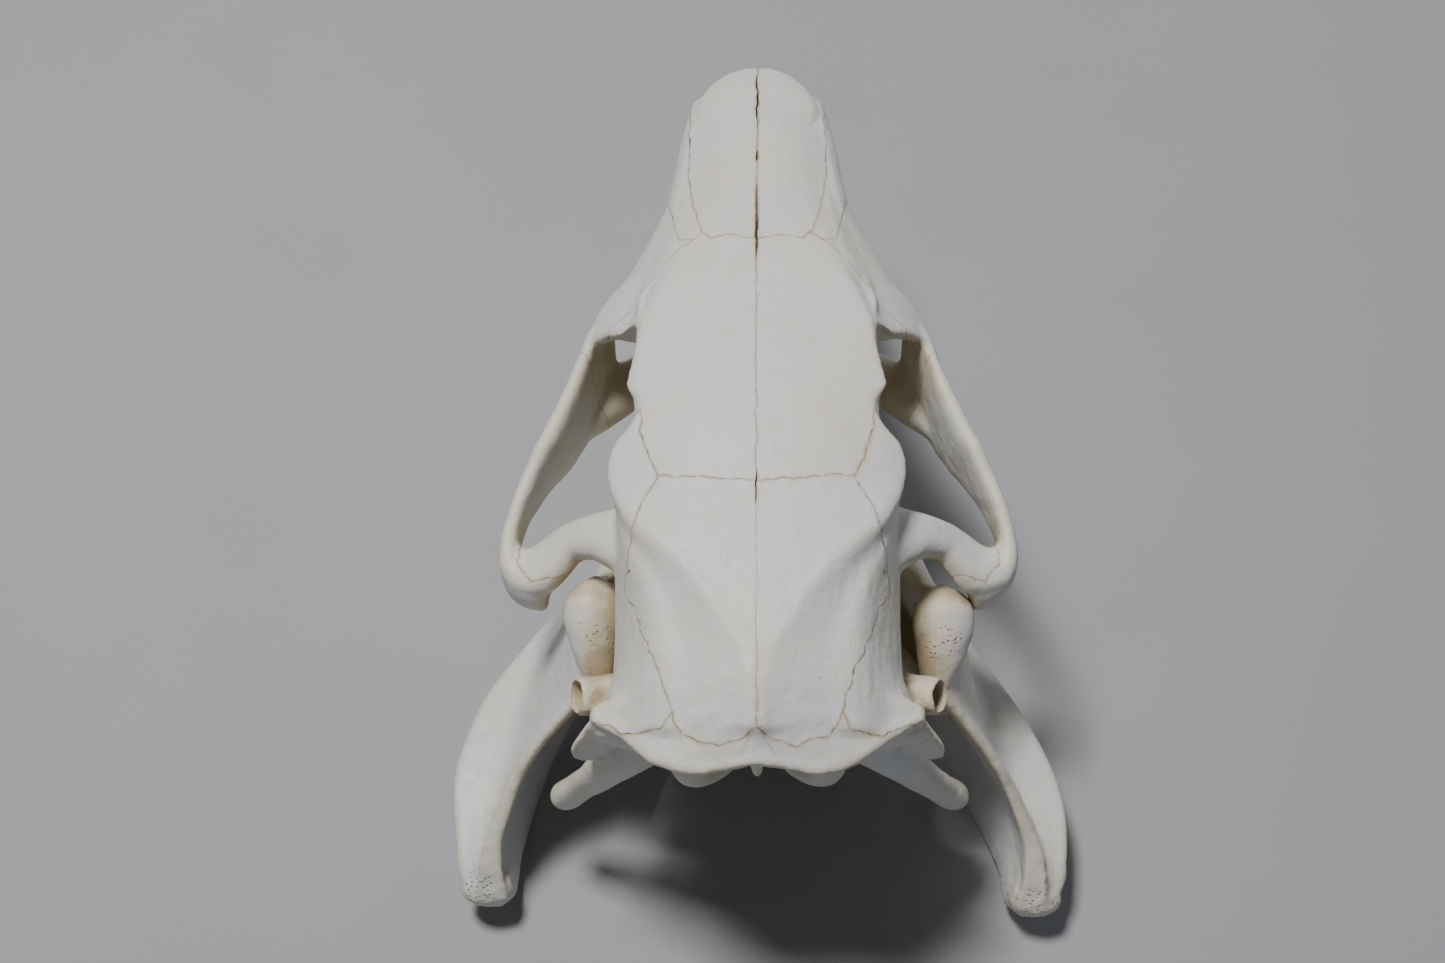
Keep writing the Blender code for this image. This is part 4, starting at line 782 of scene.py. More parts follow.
def vertex_array(mesh):
    return values_of(mesh.vertices, "co", 3).astype(np.float64)


def set_vertices(mesh, points):
    mesh.vertices.foreach_set("co", points.astype(np.float32).ravel())
    mesh.update()


def normal_array(mesh):
    return values_of(mesh.vertex_normals, "vector", 3).astype(np.float64)


def lattice(cell, seed):
    """A repeatable value from -1 to 1 for each whole-numbered cell."""
    x, y, z = (cell[:, k].astype(np.uint32) for k in range(3))
    h = x * np.uint32(374761393) + y * np.uint32(668265263) + z * np.uint32(2246822519)
    h = h + np.uint32((seed * 3266489917 + 1) % 4294967296)
    h = (h ^ (h >> np.uint32(15))) * np.uint32(2246822519)
    h = (h ^ (h >> np.uint32(13))) * np.uint32(3266489917)
    h = h ^ (h >> np.uint32(16))
    return h.astype(np.float64) / 2147483647.5 - 1


def noise(points, size, seed):
    """Smooth noise from -1 to 1 with features of the given size, in the points' own unit."""
    p = points / size
    base = np.floor(p)
    f = p - base
    f = f * f * f * (f * (f * 6 - 15) + 10)
    base = base.astype(np.int64)
    weights = (1 - f, f)
    value = np.zeros(len(p))
    for x, y, z in np.ndindex(2, 2, 2):
        weight = weights[x][:, 0] * weights[y][:, 1] * weights[z][:, 2]
        value += weight * lattice(base + (x, y, z), seed)
    return value


def layered(points, size, octaves, seed):
    """Noise with finer and weaker layers on top."""
    total, weight = np.zeros(len(points)), 0.0
    for k in range(octaves):
        total += noise(points, size / 2 ** k, seed + k) / 2 ** k
        weight += 1 / 2 ** k
    return total / weight


def ramp(value, low, high):
    """0 below low, 1 above high, smooth between; it falls instead when low is above high."""
    t = np.clip((value - low) / (high - low), 0, 1)
    return t * t * (3 - 2 * t)


def hill(points, centre, reach):
    """1 at a centre and fading out around it, over the reach in x, y and z."""
    offset = (points - centre) / reach
    return np.exp(-(offset * offset).sum(1))


def hills(points, centre, reach):
    """The same on both sides of the midline."""
    return hill(points * (-1, 1, 1), centre, reach) + hill(points, centre, reach)


def seam_wobble(points):
    """How far a suture wanders at each point (mm), the same for both bones that meet there.

    It wanders most on the braincase's roof and beside the nasal tips, and least on the midline.
    """
    x, y, z = points.T
    strength = 0.2 + 0.26 * ramp(y, 140, 130) * ramp(z, 60, 95)
    strength *= 0.4 + 0.6 * ramp(np.abs(x), 1.5, 4.5)
    strength += 0.25 * ramp(y, 166, 173)
    wander = np.empty_like(points)
    for axis in range(3):
        wander[:, axis] = noise(points, 3, 11 + axis) * 0.9 + noise(points, 1.4, 31 + axis) * 0.4
    return wander * strength[:, None]


def warp(points):
    return points + seam_wobble(points)


def unwarp(points):
    """The inverse of warp, by repeated correction."""
    guess = points.copy()
    for _ in range(16):
        guess = points - seam_wobble(guess)
    return guess


# ---- relief of the bones (mm)
def cranium_relief(points, normals):
    """Outward shift of the cranium's surface: gentle unevenness, muscle marks and faint dents."""
    x, y, z = np.abs(points[:, 0]), points[:, 1], points[:, 2]
    up, back = normals[:, 2], -normals[:, 1]
    shift = layered(points, 15, 3, 51) * 0.3 + noise(points, 2.3, 61) * 0.02
    neck = ramp(back, 0.2, 0.7) * ramp(y, 24, 12) * ramp(z, 62, 72)
    shift += neck * layered(points * (1.5, 1, 0.7), 7, 3, 71) * 0.35
    shift -= 1.2 * ramp(back, 0.3, 0.7) * hills(points, (14, 9, 90), (9, 9, 6))
    rim = ramp(y, 7, 0) * ramp(z, 90, 95)
    shift += rim * noise(points * (1, 0.3, 0.3), 3.4, 81) * 0.13
    fossa = ramp(y, 56, 46) * ramp(y, 6, 14) * ramp(x, 9, 16) * ramp(up, 0.95, 0.8)
    shift += fossa * noise(points * (1, 0.2, 0.5), 1.5, 91) * 0.07
    for side in (-1, 1):
        shift -= 0.5 * ramp(up, 0.5, 0.8) * hill(points, (side * 14, 97 - side, 114), (7, 9, 30))
        shift -= 0.35 * ramp(up, 0.5, 0.8) * hill(points, (side * 11, 178, 96), (4.5, 14, 30))
        shift += 0.5 * hill(points, (side * 52, 84, 90), (3, 2.4, 4))
    arch = ramp(x, 34, 40) * ramp(y, 125, 115)
    shift += arch * layered(points, 5, 2, 101) * 0.15
    stem = ramp(x, 24, 30) * ramp(z, 74, 66) * ramp(y, 26, 20)
    shift += stem * layered(points * (1, 1, 0.5), 4, 2, 111) * 0.14
    shift += hills(points, (42, 25, 74), (4, 6, 6)) * noise(points, 3, 121) * 0.45
    return shift


def jaw_relief(points, normals):
    """Outward shift of the lower jaw's surface."""
    x, y, z = np.abs(points[:, 0]), points[:, 1], points[:, 2]
    shift = layered(points, 13, 3, 52) * 0.3 + noise(points, 2.3, 62) * 0.03
    tip = ramp(y, 16, 3) * ramp(x, 55, 62)
    shift += tip * layered(points, 3.4, 2, 72) * 0.25
    chewing = ramp(y, 80, 60) * ramp(normals[:, 2], 0.1, 0.5) * ramp(x, 44, 52)
    shift += chewing * noise(points * (0.4, 1, 0.7), 3, 82) * 0.14
    edge = ramp(z, 7, 2) * ramp(y, 12, 40)
    return shift + edge * layered(points, 4, 2, 92) * 0.12


def body_of(name, pieces, holes, relief):
    """One fine-grained body of overlapping pieces, with filled inner corners, its relief and holes."""
    body = new_object(name, gathered(pieces))
    remesh(body, VOXEL)
    offset_surface(body, FILLET)
    remesh(body, VOXEL)
    offset_surface(body, -FILLET)
    remesh(body, VOXEL)
    modify(body, "SMOOTH", iterations=SOFTENING)
    apply_modifiers(body)
    shift_surface(body, relief)
    in_triangles(body)
    for hole in holes:
        cut(body, hole)
    return body


def shift_surface(obj, relief):
    """Moves each point along its normal by the relief there (mm)."""
    points, normals = vertex_array(obj.data) / MM, normal_array(obj.data)
    set_vertices(obj.data, (points + normals * relief(points, normals)[:, None]) * MM)


def main_piece(obj):
    """Keeps the largest loose piece of a cut bone."""
    mesh = obj.data
    a, b = values_of(mesh.edges, "vertices", 2, np.int32).T
    label = np.arange(len(mesh.vertices))
    while True:
        low = np.minimum(label[a], label[b])
        fresh = label.copy()
        np.minimum.at(fresh, a, low)
        np.minimum.at(fresh, b, low)
        fresh = fresh[fresh]
        fresh = fresh[fresh]
        if np.array_equal(fresh, label):
            break
        label = fresh
    sizes = np.bincount(label, minlength=1)
    loose = np.nonzero(label != sizes.argmax())[0]

    def change(bm):
        bm.verts.ensure_lookup_table()
        bmesh.ops.delete(bm, geom=[bm.verts[i] for i in loose], context="VERTS")
    if len(loose):
        edited(obj, change)


def edited(obj, change):
    """Makes a change to the object's bmesh."""
    bm = bmesh.new()
    bm.from_mesh(obj.data)
    change(bm)
    bm.to_mesh(obj.data)
    bm.free()


def tidy(obj, distance):
    """Without the slivers that earlier cuts left."""
    def change(bm):
        bmesh.ops.dissolve_degenerate(bm, edges=bm.edges, dist=distance * MM)
        bmesh.ops.triangulate(bm, faces=bm.faces)
    edited(obj, change)


def sound(mesh):
    """Whether a mesh has two faces at every edge, and isn't just a leftover."""
    used = values_of(mesh.loops, "edge_index", 1, np.int32)
    faces = np.bincount(used, minlength=len(mesh.edges))
    return len(mesh.vertices) > FEWEST_POINTS and bool((faces == 2).all())


def part_of(obj, name, seam, grow, operation):
    """A copy of obj, cut. A cut that fails is made again, a little wider, on a tidier mesh."""
    for more in CUT_TRIES:
        if more:
            tidy(obj, more / 10)
        part = copy_of(obj, name)
        cut(part, seam_tool(seam, grow + more), operation)
        if sound(part.data) or more == CUT_TRIES[-1]:
            return part
        bpy.data.objects.remove(part)


def part_bone(rest, name, seam):
    """A bone, and what is left of the rest."""
    bone = part_of(rest, name, seam, 0, "INTERSECT")
    others = part_of(rest, f"{name}_rest", seam, SUTURE_GAP, "DIFFERENCE")
    bpy.data.objects.remove(rest)
    main_piece(bone)
    return bone, others


def close_gaps(bm):
    """A face over each ring of open edges that is left where two halves meet."""
    left = {edge for edge in bm.edges if edge.is_boundary}
    while left:
        path = list(left.pop().verts)
        while len(path) > 1:
            step = next((edge for edge in path[-1].link_edges if edge in left), None)
            if step is None:
                break
            left.discard(step)
            vert = step.other_vert(path[-1])
            if vert in path:
                start = path.index(vert)
                bm.faces.new(path[start:])
                path = path[:start]
            path.append(vert)
    bmesh.ops.recalc_face_normals(bm, faces=bm.faces)
    bmesh.ops.triangulate(bm, faces=bm.faces)


def joined_halves(right, left, name):
    """A bone that crosses the midline, from its two halves, which share the cut in the middle."""
    bm = gathered((right, left))
    on_plane = [face for face in bm.faces
                if all(abs(vert.co.x) < PLANE_REACH * MM for vert in face.verts)]
    bmesh.ops.delete(bm, geom=on_plane, context="FACES")
    middle = [vert for vert in bm.verts if vert.is_boundary]
    bmesh.ops.remove_doubles(bm, verts=middle, dist=PLANE_REACH / 2 * MM)
    close_gaps(bm)
    bone = new_object(name, bm)
    main_piece(bone)
    return bone


def part_cranium(body):
    """Each bone of the cranium, by name. The seams are cut straight in a slightly warped copy."""
    set_vertices(body.data, warp(vertex_array(body.data) / MM) * MM)
    in_triangles(body)
    gaps = [((0, y, smooth(ROOF, y)), half_sizes, tilt) for y, half_sizes, tilt in MIDLINE_GAPS]
    cut(body, in_one(balls("gap", gaps)))
    bones, halves = {}, {}
    for word, low, high in (("right", 0, FAR), ("left", -FAR, 0)):
        half = copy_of(body, f"rest_{word}")
        cut(half, box("half", (low, -FAR, -FAR), (high, 2 * FAR, FAR)), "INTERSECT")
        found = {}
        if word == "left":
            mirror_x(half)
        for name, seam in SEAMS.items():
            found[name], half = part_bone(half, f"{name}_{word}", seam)
        main_piece(half)
        found["skull_base"] = half
        for name, obj in found.items():
            if word == "left":
                mirror_x(obj)
            (halves if name in ("occipital", "skull_base") else bones)[f"{name}_{word}"] = obj
    for name in ("occipital", "skull_base"):
        bones[name] = joined_halves(halves[f"{name}_right"], halves[f"{name}_left"], name)
    bpy.data.objects.remove(body)
    for bone in bones.values():
        set_vertices(bone.data, unwarp(vertex_array(bone.data) / MM) * MM)
    return bones


def in_triangles(obj):
    """Flat faces only, which the cuts need."""
    edited(obj, lambda bm: bmesh.ops.triangulate(bm, faces=bm.faces))


def mirror_x(obj):
    """Turns an object into its own mirror image across the midline."""
    obj.data.transform(Matrix.Diagonal((-1, 1, 1, 1)))
    obj.data.flip_normals()


# ---- teeth
def lamina(name, y, width, thickness, low, high):
    """One upright enamel plate of a cheek tooth, bowed forwards, with a rounded rim on its worn end."""
    rings = []
    inwards = math.copysign(1, low - high)
    for end, shrink in ((low, 0), (high + inwards * 0.5, 0), (high + inwards * 0.15, 0.12), (high, 0.34)):
        ring = squircle(Vector((0, y, end)), SIDEWAYS, Vector((0, 1, 0)), width / 2 - shrink,
                        thickness / 2 - shrink, 2.6)
        rings.append([Vector((row_x(p.y) + p.x, p.y + LAMINA_BOW * (1 - (2 * p.x / width) ** 2), p.z))
                      for p in ring])
    return loft(name, rings)


def tooth_row(name, teeth, low, high):
    """The cheek teeth of the right side: enamel plates with cement between them."""
    pieces = []
    sunk = high + math.copysign(CEMENT_SUNK, low - high)
    for number, (middle, length) in enumerate(teeth):
        count = max(4, round(length / LAMINA_PITCH))
        pitch = (length - 0.8) / count
        for k in range(count):
            y = middle + (k + 0.5 - count / 2) * pitch
            wide = LAMINA_WIDTH - 0.5 * abs(2 * (k + 0.5) / count - 1) ** 3
            pieces.append(lamina(f"{name}_{number}_{k}", y, wide, pitch * 0.8, low, high))
        ends = (middle + length / 2 - 1.2, middle - length / 2 + 1.2)
        stations = [(row_x(y), y, min(low, sunk), max(low, sunk), LAMINA_WIDTH - 0.6) for y in ends]
        pieces.append(plate(f"{name}_cement_{number}", stations, power=4))
    row = new_object(name, gathered(pieces))
    remesh(row, TOOTH_VOXEL)
    modify(row, "SMOOTH", iterations=2)
    apply_modifiers(row)
    return row


def chisel_tooth(name, arc, side):
    """One incisor: grooved in front, worn to a chisel at its tip, with the front face as an attribute."""
    cy, cz, radius, depth, width, start, end, whole = arc
    rings, front = [], []
    for step in range(INCISOR_STEPS + 1):
        share = step / INCISOR_STEPS
        turn = math.radians(start + (end - start) * share)
        worn = max(0.0, (share - whole) / (1 - whole))
        outward = Vector((0, math.cos(turn), math.sin(turn)))
        centre = Vector((side * (width / 2 + INCISOR_GAP), cy, cz)) + outward * radius
        ring = []
        for k in range(INCISOR_POINTS):
            angle = 2 * math.pi * k / INCISOR_POINTS
            c, s = math.cos(angle), math.sin(angle)
            across = math.copysign(abs(c) ** INCISOR_POWER, c) * width / 2
            out = math.copysign(abs(s) ** INCISOR_POWER, s) * depth / 2
            if out > 0:
                out -= GROOVE_DEPTH * math.exp(-(across / GROOVE_WIDTH) ** 2) * min(1, out)
            else:
                out *= 1 - 0.2 * (1 - (2 * across / width) ** 2)
            out += (depth / 2 - 0.4 - out) * 0.92 * worn
            ring.append(centre + Vector((across, 0, 0)) + outward * out)
            front.append(s)
        rings.append(ring)
    tooth = loft(name, rings)
    write_values(tooth.data, "front", np.array(front))
    modify(tooth, "SUBSURF", levels=2, render_levels=2)
    apply_modifiers(tooth)
    return tooth


def septum():
    """The thin wall inside the nose."""
    wall = plate("nasal_septum", SEPTUM, power=5)
    remesh(wall, TOOTH_VOXEL)
    apply_modifiers(wall)
    shift_surface(wall, lambda points, normals: layered(points, 5, 3, 131) * 0.25)
    return wall


# ---- values that the materials read
def write_values(mesh, name, values):
    attribute = mesh.attributes.get(name) or mesh.attributes.new(name, "FLOAT", "POINT")
    attribute.data.foreach_set("value", values.astype(np.float32))


def tree_of(points):
    tree = KDTree(len(points))
    for number, point in enumerate(points):
        tree.insert(point, number)
    tree.balance()
    return tree


def mark_seams(obj):
    """'seam' is 1 where the surface breaks sharply, as on a suture's rim, and fades out beside it."""
    mesh = obj.data
    points = vertex_array(mesh)
    values = np.zeros(len(points))
    sharp = mesh.attributes.get("sharp_edge")
    if sharp is not None:
        edges = values_of(mesh.edges, "vertices", 2, np.int32)[values_of(sharp.data, "value", 1, bool)]
        if len(edges):
            rim = tree_of(points[np.unique(edges)])
            near = np.array([rim.find(point)[2] for point in points]) / MM
            values = ramp(near, SEAM_STAIN, 0)
    write_values(mesh, "seam", values)


def mark_shelter(objects, solids):
    """'shelter' is how much of the sky the bones hide from a point, from rays to the CAD solids."""
    bm = bmesh.new()
    for solid in solids:
        bm.from_mesh(solid.data)
    skull = BVHTree.FromBMesh(bm)
    bm.free()
    reach = SHELTER_REACH * MM
    picked, values = [], []
    turns = [(math.sqrt((k + 0.5) / RAYS), k * math.pi * (3 - math.sqrt(5))) for k in range(RAYS)]
    for obj in objects:
        points, normals = vertex_array(obj.data), normal_array(obj.data)
        for i in range(0, len(points), SHELTER_STRIDE):
            origin, normal = Vector(points[i]), Vector(normals[i])
            side = normal.orthogonal().normalized()
            other = normal.cross(side)
            start = origin + normal * RAY_START * MM
            blocked = 0.0
            for radius, turn in turns:
                direction = (side * (radius * math.cos(turn)) + other * (radius * math.sin(turn))
                             + normal * math.sqrt(1 - radius * radius))
                distance = skull.ray_cast(start, direction, reach)[3]
                if distance is not None:
                    blocked += 1 - 0.5 * distance / reach
            picked.append(origin + normal * SIDE_REACH * MM)
            values.append(blocked / RAYS)
    tree = tree_of(picked)
    for obj in objects:
        points, normals = vertex_array(obj.data), normal_array(obj.data)
        shelter = np.empty(len(points))
        for i, point in enumerate(points + normals * SIDE_REACH * MM):
            total = weight = 0.0
            for _, number, distance in tree.find_n(point, 4):
                share = 1 / (distance + 0.4 * MM)
                total += share * values[number]
                weight += share
            shelter[i] = total / weight
        write_values(obj.data, "shelter", shelter)


def mark_hollows(obj):
    """'hollow' is above 0.5 in fine dents and below it on ridges."""
    smoothed = obj.copy()
    smoothed.data = obj.data.copy()
    workshop.objects.link(smoothed)
    modify(smoothed, "SMOOTH", iterations=HOLLOW_ROUNDS)
    apply_modifiers(smoothed)
    shift = vertex_array(smoothed.data) - vertex_array(obj.data)
    bpy.data.objects.remove(smoothed)
    depth = (shift * normal_array(obj.data)).sum(1) / MM
    write_values(obj.data, "hollow", np.clip(0.5 + depth * HOLLOW_GAIN, 0, 1))


def unsettled(obj, settled):
    """The points of an object in the skull's own frame (mm)."""
    back = np.array(settled.inverted())
    return (vertex_array(obj.data) @ back[:3, :3].T + back[:3, 3]) / MM


def mark_porous(obj, places, settled):
    """'porous' is 1 where the bone's skin is thin: at the jaw's condyles and angles."""
    points = unsettled(obj, settled)
    points[:, 0] = np.abs(points[:, 0])
    values = np.zeros(len(points))
    for centre, reach in places:
        values = np.maximum(values, hill(points, centre, reach))
    write_values(obj.data, "porous", values)


def stain_lines(obj, settled):
    """Adds the thin stained lines on the roof to 'seam', and weakens it where sutures are closed."""
    points = unsettled(obj, settled)
    values = values_of(obj.data.attributes["seam"].data, "value")
    for centre, reach, closed in CLOSED_SEAMS:
        values = values * (1 - closed * hill(np.abs(points), centre, reach))
    for x0, y0, x1, y1 in STAIN_LINES:
        run = np.array((x1 - x0, y1 - y0))
        offset = points[:, :2] - (x0, y0)
        share = np.clip((offset * run).sum(1) / (run * run).sum(), 0, 1)
        away = np.linalg.norm(offset - share[:, None] * run, axis=1)
        stain = LINE_STRENGTH * ramp(away, LINE_STAIN, 0) * (points[:, 2] > LINES_ABOVE_Z)
        values = np.maximum(values, stain)
    write_values(obj.data, "seam", values)


# ---- materials
class Surface:
    """A material's nodes, added from the shader backwards."""

    def __init__(self, name):
        self.material = bpy.data.materials.new(name)
        self.material.use_nodes = True
        self.tree = self.material.node_tree
        self.shader = self.tree.nodes["Principled BSDF"].inputs
        place = self.node("ShaderNodeTexCoord").outputs["Object"]
        self.place = self.maths("MULTIPLY", place, 1 / MM, vector=True)

    def node(self, kind, **settings):
        node = self.tree.nodes.new(kind)
        for name, value in settings.items():
            setattr(node, name, value)
        return node

    def feed(self, socket, value):
        if isinstance(value, bpy.types.NodeSocket):
            self.tree.links.new(value, socket)
        elif isinstance(value, (int, float)) and socket.type == "VECTOR":
            socket.default_value = (value,) * 3
        elif socket.type == "RGBA":
            socket.default_value = (*value, 1)
        else:
            socket.default_value = value

    def maths(self, operation, first, second, vector=False):
        node = self.node("ShaderNodeVectorMath" if vector else "ShaderNodeMath", operation=operation)
        self.feed(node.inputs[0], first)
        self.feed(node.inputs[1], second)
        return node.outputs[0]

    def times(self, first, second):
        return self.maths("MULTIPLY", first, second)

    def plus(self, first, second):
        return self.maths("ADD", first, second)

    def value(self, name):
        return self.node("ShaderNodeAttribute", attribute_name=name).outputs["Fac"]

    def grain(self, size, detail=3.0, stretch=(1, 1, 1), seed=0.0):
        """Noise from 0 to 1 with features of the given size in millimetres."""
        moved = self.maths("MULTIPLY", self.place, tuple(s / size for s in stretch), vector=True)
        moved = self.maths("ADD", moved, (seed, seed * 0.37, -seed), vector=True)
        node = self.node("ShaderNodeTexNoise")
        self.feed(node.inputs["Vector"], moved)
        node.inputs["Scale"].default_value = 1
        node.inputs["Detail"].default_value = detail
        return node.outputs["Fac"]

    def pits(self, size, spread):
        """1 inside small round pits, scattered at the given spacing."""
        node = self.node("ShaderNodeTexVoronoi")
        self.feed(node.inputs["Vector"], self.place)
        node.inputs["Scale"].default_value = 1 / spread
        return self.between(node.outputs["Distance"], size, size * 0.35)

    def between(self, value, low, high):
        """0 below low and 1 above high, or the reverse."""
        node = self.node("ShaderNodeMapRange", interpolation_type="SMOOTHSTEP")
        rising = low < high
        for name, number in (("Value", value), ("From Min", min(low, high)), ("From Max", max(low, high)),
                             ("To Min", 1 - rising), ("To Max", rising)):
            self.feed(node.inputs[name], number)
        return node.outputs["Result"]

    def blend(self, share, under, over):
        node = self.node("ShaderNodeMix", data_type="RGBA")
        for socket, value in ((0, share), (6, under), (7, over)):
            self.feed(node.inputs[socket], value)
        return node.outputs[2]

    def colour(self, colour, *layers):
        """The base colour, under layers of (where, how strong, colour)."""
        for share, strength, over in layers:
            colour = self.blend(self.times(share, strength), colour, over)
        self.feed(self.shader["Base Color"], colour)

    def relief(self, *layers):
        """Bumps of (height, depth in mm), one over the other."""
        normal = None
        for height, depth in layers:
            node = self.node("ShaderNodeBump")
            node.inputs["Distance"].default_value = depth * MM
            self.feed(node.inputs["Height"], height)
            if normal is not None:
                self.feed(node.inputs["Normal"], normal)
            normal = node.outputs["Normal"]
        self.feed(self.shader["Normal"], normal)


def bone_material():
    """Cleaned, dry bone: ivory white, with dark sutures, pores and fine grain, and painted shade, partly
    real stain, in cream, tan and brown where the skull hides the sky from it and in its fine dents.
    """
    s = Surface("bone")
    shelter, hollow, porous, seam = (s.value(name) for name in ("shelter", "hollow", "porous", "seam"))
    patchy = s.plus(s.times(s.grain(5, 4, seed=21), 0.7), 0.65)
    broken = s.plus(s.times(s.between(s.grain(1.7, 3, seed=33), 0.28, 0.62), 0.75), 0.1)
    pores = s.times(s.pits(0.36, 1.05), s.between(s.times(porous, s.grain(3, 2, seed=2)), 0.2, 0.4))
    specks = s.times(s.pits(0.1, 3.3), s.between(s.grain(12, 2, seed=41), 0.58, 0.68))
    s.colour(s.blend(s.between(s.grain(26, 3, seed=3), 0.38, 0.66), BONE_COOL, BONE_WARM),
             (s.between(s.grain(7, 4, seed=9), 0.45, 0.75), 0.45, BONE_CREAM),
             (s.between(s.grain(0.9, 3, seed=5), 0.3, 0.7), 0.16, BONE_CHALK),
             # painted shade, partly real stain: cream where the skull hides a little of the sky
             (s.times(s.between(shelter, 0.02, 0.3), patchy), 0.85, BONE_CREAM),
             (s.between(hollow, 0.46, 0.26), 0.6, BONE_CREAM),
             # painted shade, partly real stain: brown where the skull hides much of the sky
             (s.times(s.between(shelter, 0.17, 0.62), patchy), 0.8, BONE_SHADE_AND_STAIN),
             # painted shade, partly real stain: tan in fine dents
             (s.between(hollow, 0.56, 0.8), 0.5, BONE_TAN),
             (seam, broken, BONE_SEAM),
             (pores, 0.65, BONE_SEAM),
             (specks, 0.18, BONE_TAN))
    rough = s.plus(s.times(s.grain(4, 4, seed=13), 0.24), 0.36)
    s.feed(s.shader["Roughness"], s.plus(rough, s.times(porous, 0.12)))
    s.relief((s.grain(0.7, 4, (1, 0.45, 1), seed=7), 0.09), (s.grain(3.4, 3, seed=17), 0.3),
             (s.times(pores, -1.0), 0.35), (s.times(specks, -1.0), 0.25))
    s.shader["Subsurface Weight"].default_value = 0.1
    s.shader["Subsurface Radius"].default_value = (1.0, 0.62, 0.36)
    s.shader["Subsurface Scale"].default_value = 2.0 * MM
    s.shader["Specular IOR Level"].default_value = 0.42
    return s.material


def cheek_tooth_material():
    """Enamel plates, white on their ridges, with stained cement between them, and painted shade in the
    cement's colour where the skull hides the sky from them.
    """
    s = Surface("cheek_tooth")
    valley = s.between(s.value("hollow"), 0.5, 0.66)
    enamel = s.between(s.grain(2.4, 4, (1, 1, 0.3), seed=4), 0.35, 0.7)
    s.colour(s.blend(enamel, ENAMEL_WHITE, ENAMEL_CREAM), (valley, 1.0, CEMENT),
             # painted shade: the cement's colour where the skull hides the sky
             (s.between(s.value("shelter"), 0.3, 0.95), 0.5, CEMENT))
    s.feed(s.shader["Roughness"], s.plus(s.times(valley, 0.3), 0.24))
    s.relief((s.grain(0.5, 3, (1, 1, 0.15), seed=8), 0.06))
    return s.material


def incisor_material():
    """Ivory enamel with fine growth lines in front, dull dentine behind, and painted shade where the skull
    hides the sky from it.
    """
    s = Surface("incisor")
    enamel = s.blend(s.between(s.grain(3, 4, (1, 1, 0.25), seed=6), 0.3, 0.7), ENAMEL_WHITE, ENAMEL_CREAM)
    dentine = s.blend(s.between(s.grain(2, 4, (1, 1, 0.3), seed=16), 0.3, 0.7), DENTINE, BONE_CREAM)
    front = s.between(s.value("front"), -0.35, -0.15)
    crack = s.between(s.grain(1.6, 2, (2.2, 2.2, 0.06), seed=26), 0.7, 0.76)
    s.colour(s.blend(front, dentine, enamel), (crack, 0.35, CEMENT),
             # painted shade: brown where the skull hides the sky
             (s.between(s.value("shelter"), 0.35, 0.95), 0.45, BONE_SHADE_AND_STAIN))
    s.feed(s.shader["Roughness"], s.maths("SUBTRACT", 0.5, s.times(front, 0.26)))
    s.relief((s.grain(0.8, 3, (3, 3, 0.12), seed=36), 0.05),
             (s.grain(1.1, 2, (0.2, 0.2, 1.6), seed=46), 0.04))
    return s.material


# ---- making the skull
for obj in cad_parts.values():
    obj.hide_render = True
workshop = bpy.data.collections.new("workshop")
bpy.context.scene.collection.children.link(workshop)

upper = part_cranium(cranium())
upper["nasal_septum"] = septum()
jaw = {"mandible_right": mandible()}
jaw["mandible_left"] = reflected(jaw["mandible_right"], "mandible_left")
for group, teeth, root, worn, word in ((upper, UPPER_TEETH, UPPER_ROOT_Z, OCCLUSAL_Z, "upper"),
                                       (jaw, LOWER_TEETH, LOWER_ROOT_Z, JAW_TEETH_Z, "lower")):
    right, left = f"{word}_teeth_right", f"{word}_teeth_left"
    group[right] = tooth_row(right, teeth, root, worn)
    group[left] = reflected(group[right], left)
for sign, word in ((1, "right"), (-1, "left")):
    upper[f"upper_incisor_{word}"] = chisel_tooth(f"upper_incisor_{word}", UPPER_INCISOR, sign)
    jaw[f"lower_incisor_{word}"] = chisel_tooth(f"lower_incisor_{word}", LOWER_INCISOR, sign)

shift = Matrix.Translation((-BODY_CENTRE_X * MM, -BODY_CENTRE_Y * MM, 0))
axis = Matrix.Translation((0, 0, ROLL_HEIGHT * MM))
settle = shift @ axis @ Matrix.Rotation(math.radians(CRANIUM_ROLL), 4, "Y") @ axis.inverted()
for obj in upper.values():
    obj.data.transform(settle)
for obj in jaw.values():
    bend_jaw(obj)
    obj.data.transform(shift)

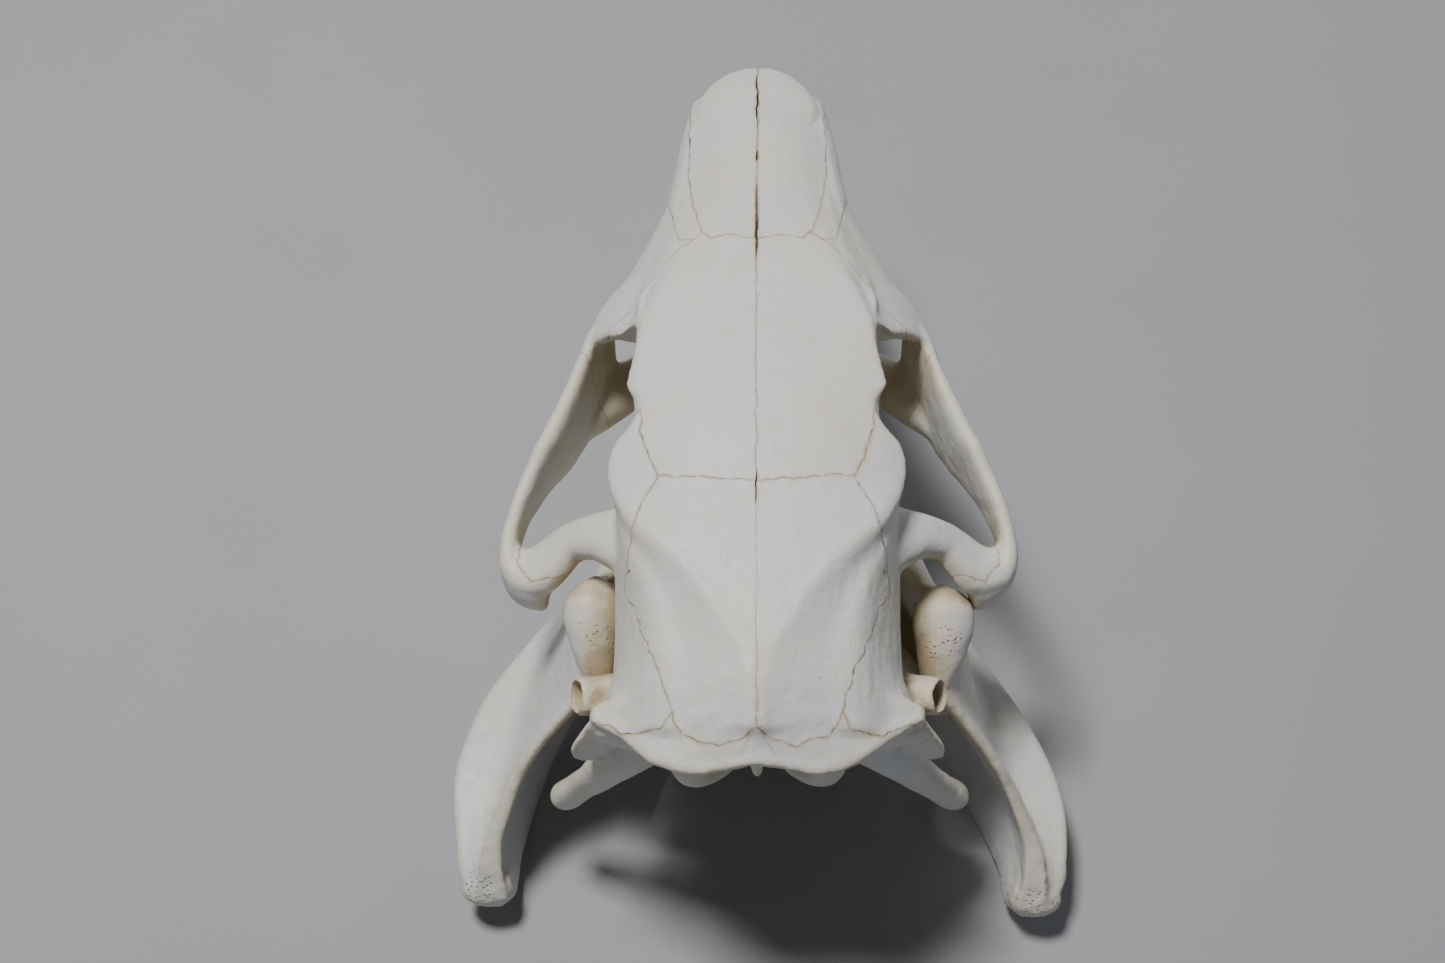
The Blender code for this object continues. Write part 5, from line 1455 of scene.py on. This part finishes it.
pieces = {**upper, **jaw}
teeth = [name for name in pieces if "teeth" in name or "incisor" in name]
for name, obj in pieces.items():
    obj.data.shade_smooth()
    obj.data.set_sharp_from_angle(angle=math.radians(SHARP_ANGLE))
    if name not in teeth:
        mark_seams(obj)
        if name in upper:
            stain_lines(obj, settle)
mark_shelter(pieces.values(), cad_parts.values())
finishes = {"teeth": cheek_tooth_material(), "incisor": incisor_material(), "": bone_material()}
for name, obj in pieces.items():
    mark_hollows(obj)
    mark_porous(obj, POROUS_PLACES if name.startswith("mandible") else [], shift)
    obj.data.materials.clear()
    obj.data.materials.append(next(finish for word, finish in finishes.items() if word in name))
    obj.name = f"{name}_look"
    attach(obj, "root")
    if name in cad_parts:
        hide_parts(name)


# ---- floor, light and camera
def placed(name, data, transform=Matrix()):
    """An object of the scene that isn't part of the skull."""
    obj = bpy.data.objects.new(name, data)
    bpy.context.scene.collection.objects.link(obj)
    obj.matrix_world = transform
    return obj


def floor():
    bm = bmesh.new()
    bmesh.ops.create_grid(bm, x_segments=1, y_segments=1, size=FLOOR_SIZE)
    mesh = bpy.data.meshes.new("floor")
    bm.to_mesh(mesh)
    bm.free()
    s = Surface("floor")
    s.colour(s.blend(s.grain(60, 2), FLOOR_COLOUR, FLOOR_SHADE))
    s.shader["Roughness"].default_value = 0.85
    mesh.materials.append(s.material)
    placed("floor", mesh)


def lights():
    """A pale sky all round, and square lamps aimed at the skull."""
    world = bpy.data.worlds.new("studio")
    world.use_nodes = True
    sky = world.node_tree.nodes["Background"].inputs
    sky["Color"].default_value = (*SKY_COLOUR, 1)
    sky["Strength"].default_value = SKY_STRENGTH
    bpy.context.scene.world = world
    for name, place, size, power, colour in LAMPS:
        lamp = bpy.data.lights.new(name, "AREA")
        lamp.size, lamp.energy, lamp.color = size, power, colour
        aim = (Vector(LIT_POINT) - Vector(place)).to_track_quat("-Z", "Y")
        placed(name, lamp, Matrix.LocRotScale(place, aim, None))


def camera():
    right, up = Vector(CAMERA_RIGHT), Vector(CAMERA_UP)
    c, s = math.cos(CAMERA_TURN), math.sin(CAMERA_TURN)
    x_axis, y_axis = right * c - up * s, right * s + up * c
    z_axis = x_axis.cross(y_axis)
    pose = Matrix((x_axis, y_axis, z_axis)).transposed().to_4x4()
    pose.translation = Vector(CAMERA_POSITION) * MM
    data = bpy.data.cameras.new("camera")
    data.lens, data.sensor_width = CAMERA_LENS, CAMERA_SENSOR
    data.clip_start = 0.01
    bpy.context.scene.camera = placed("camera", data, settle @ pose)


floor()
lights()
camera()
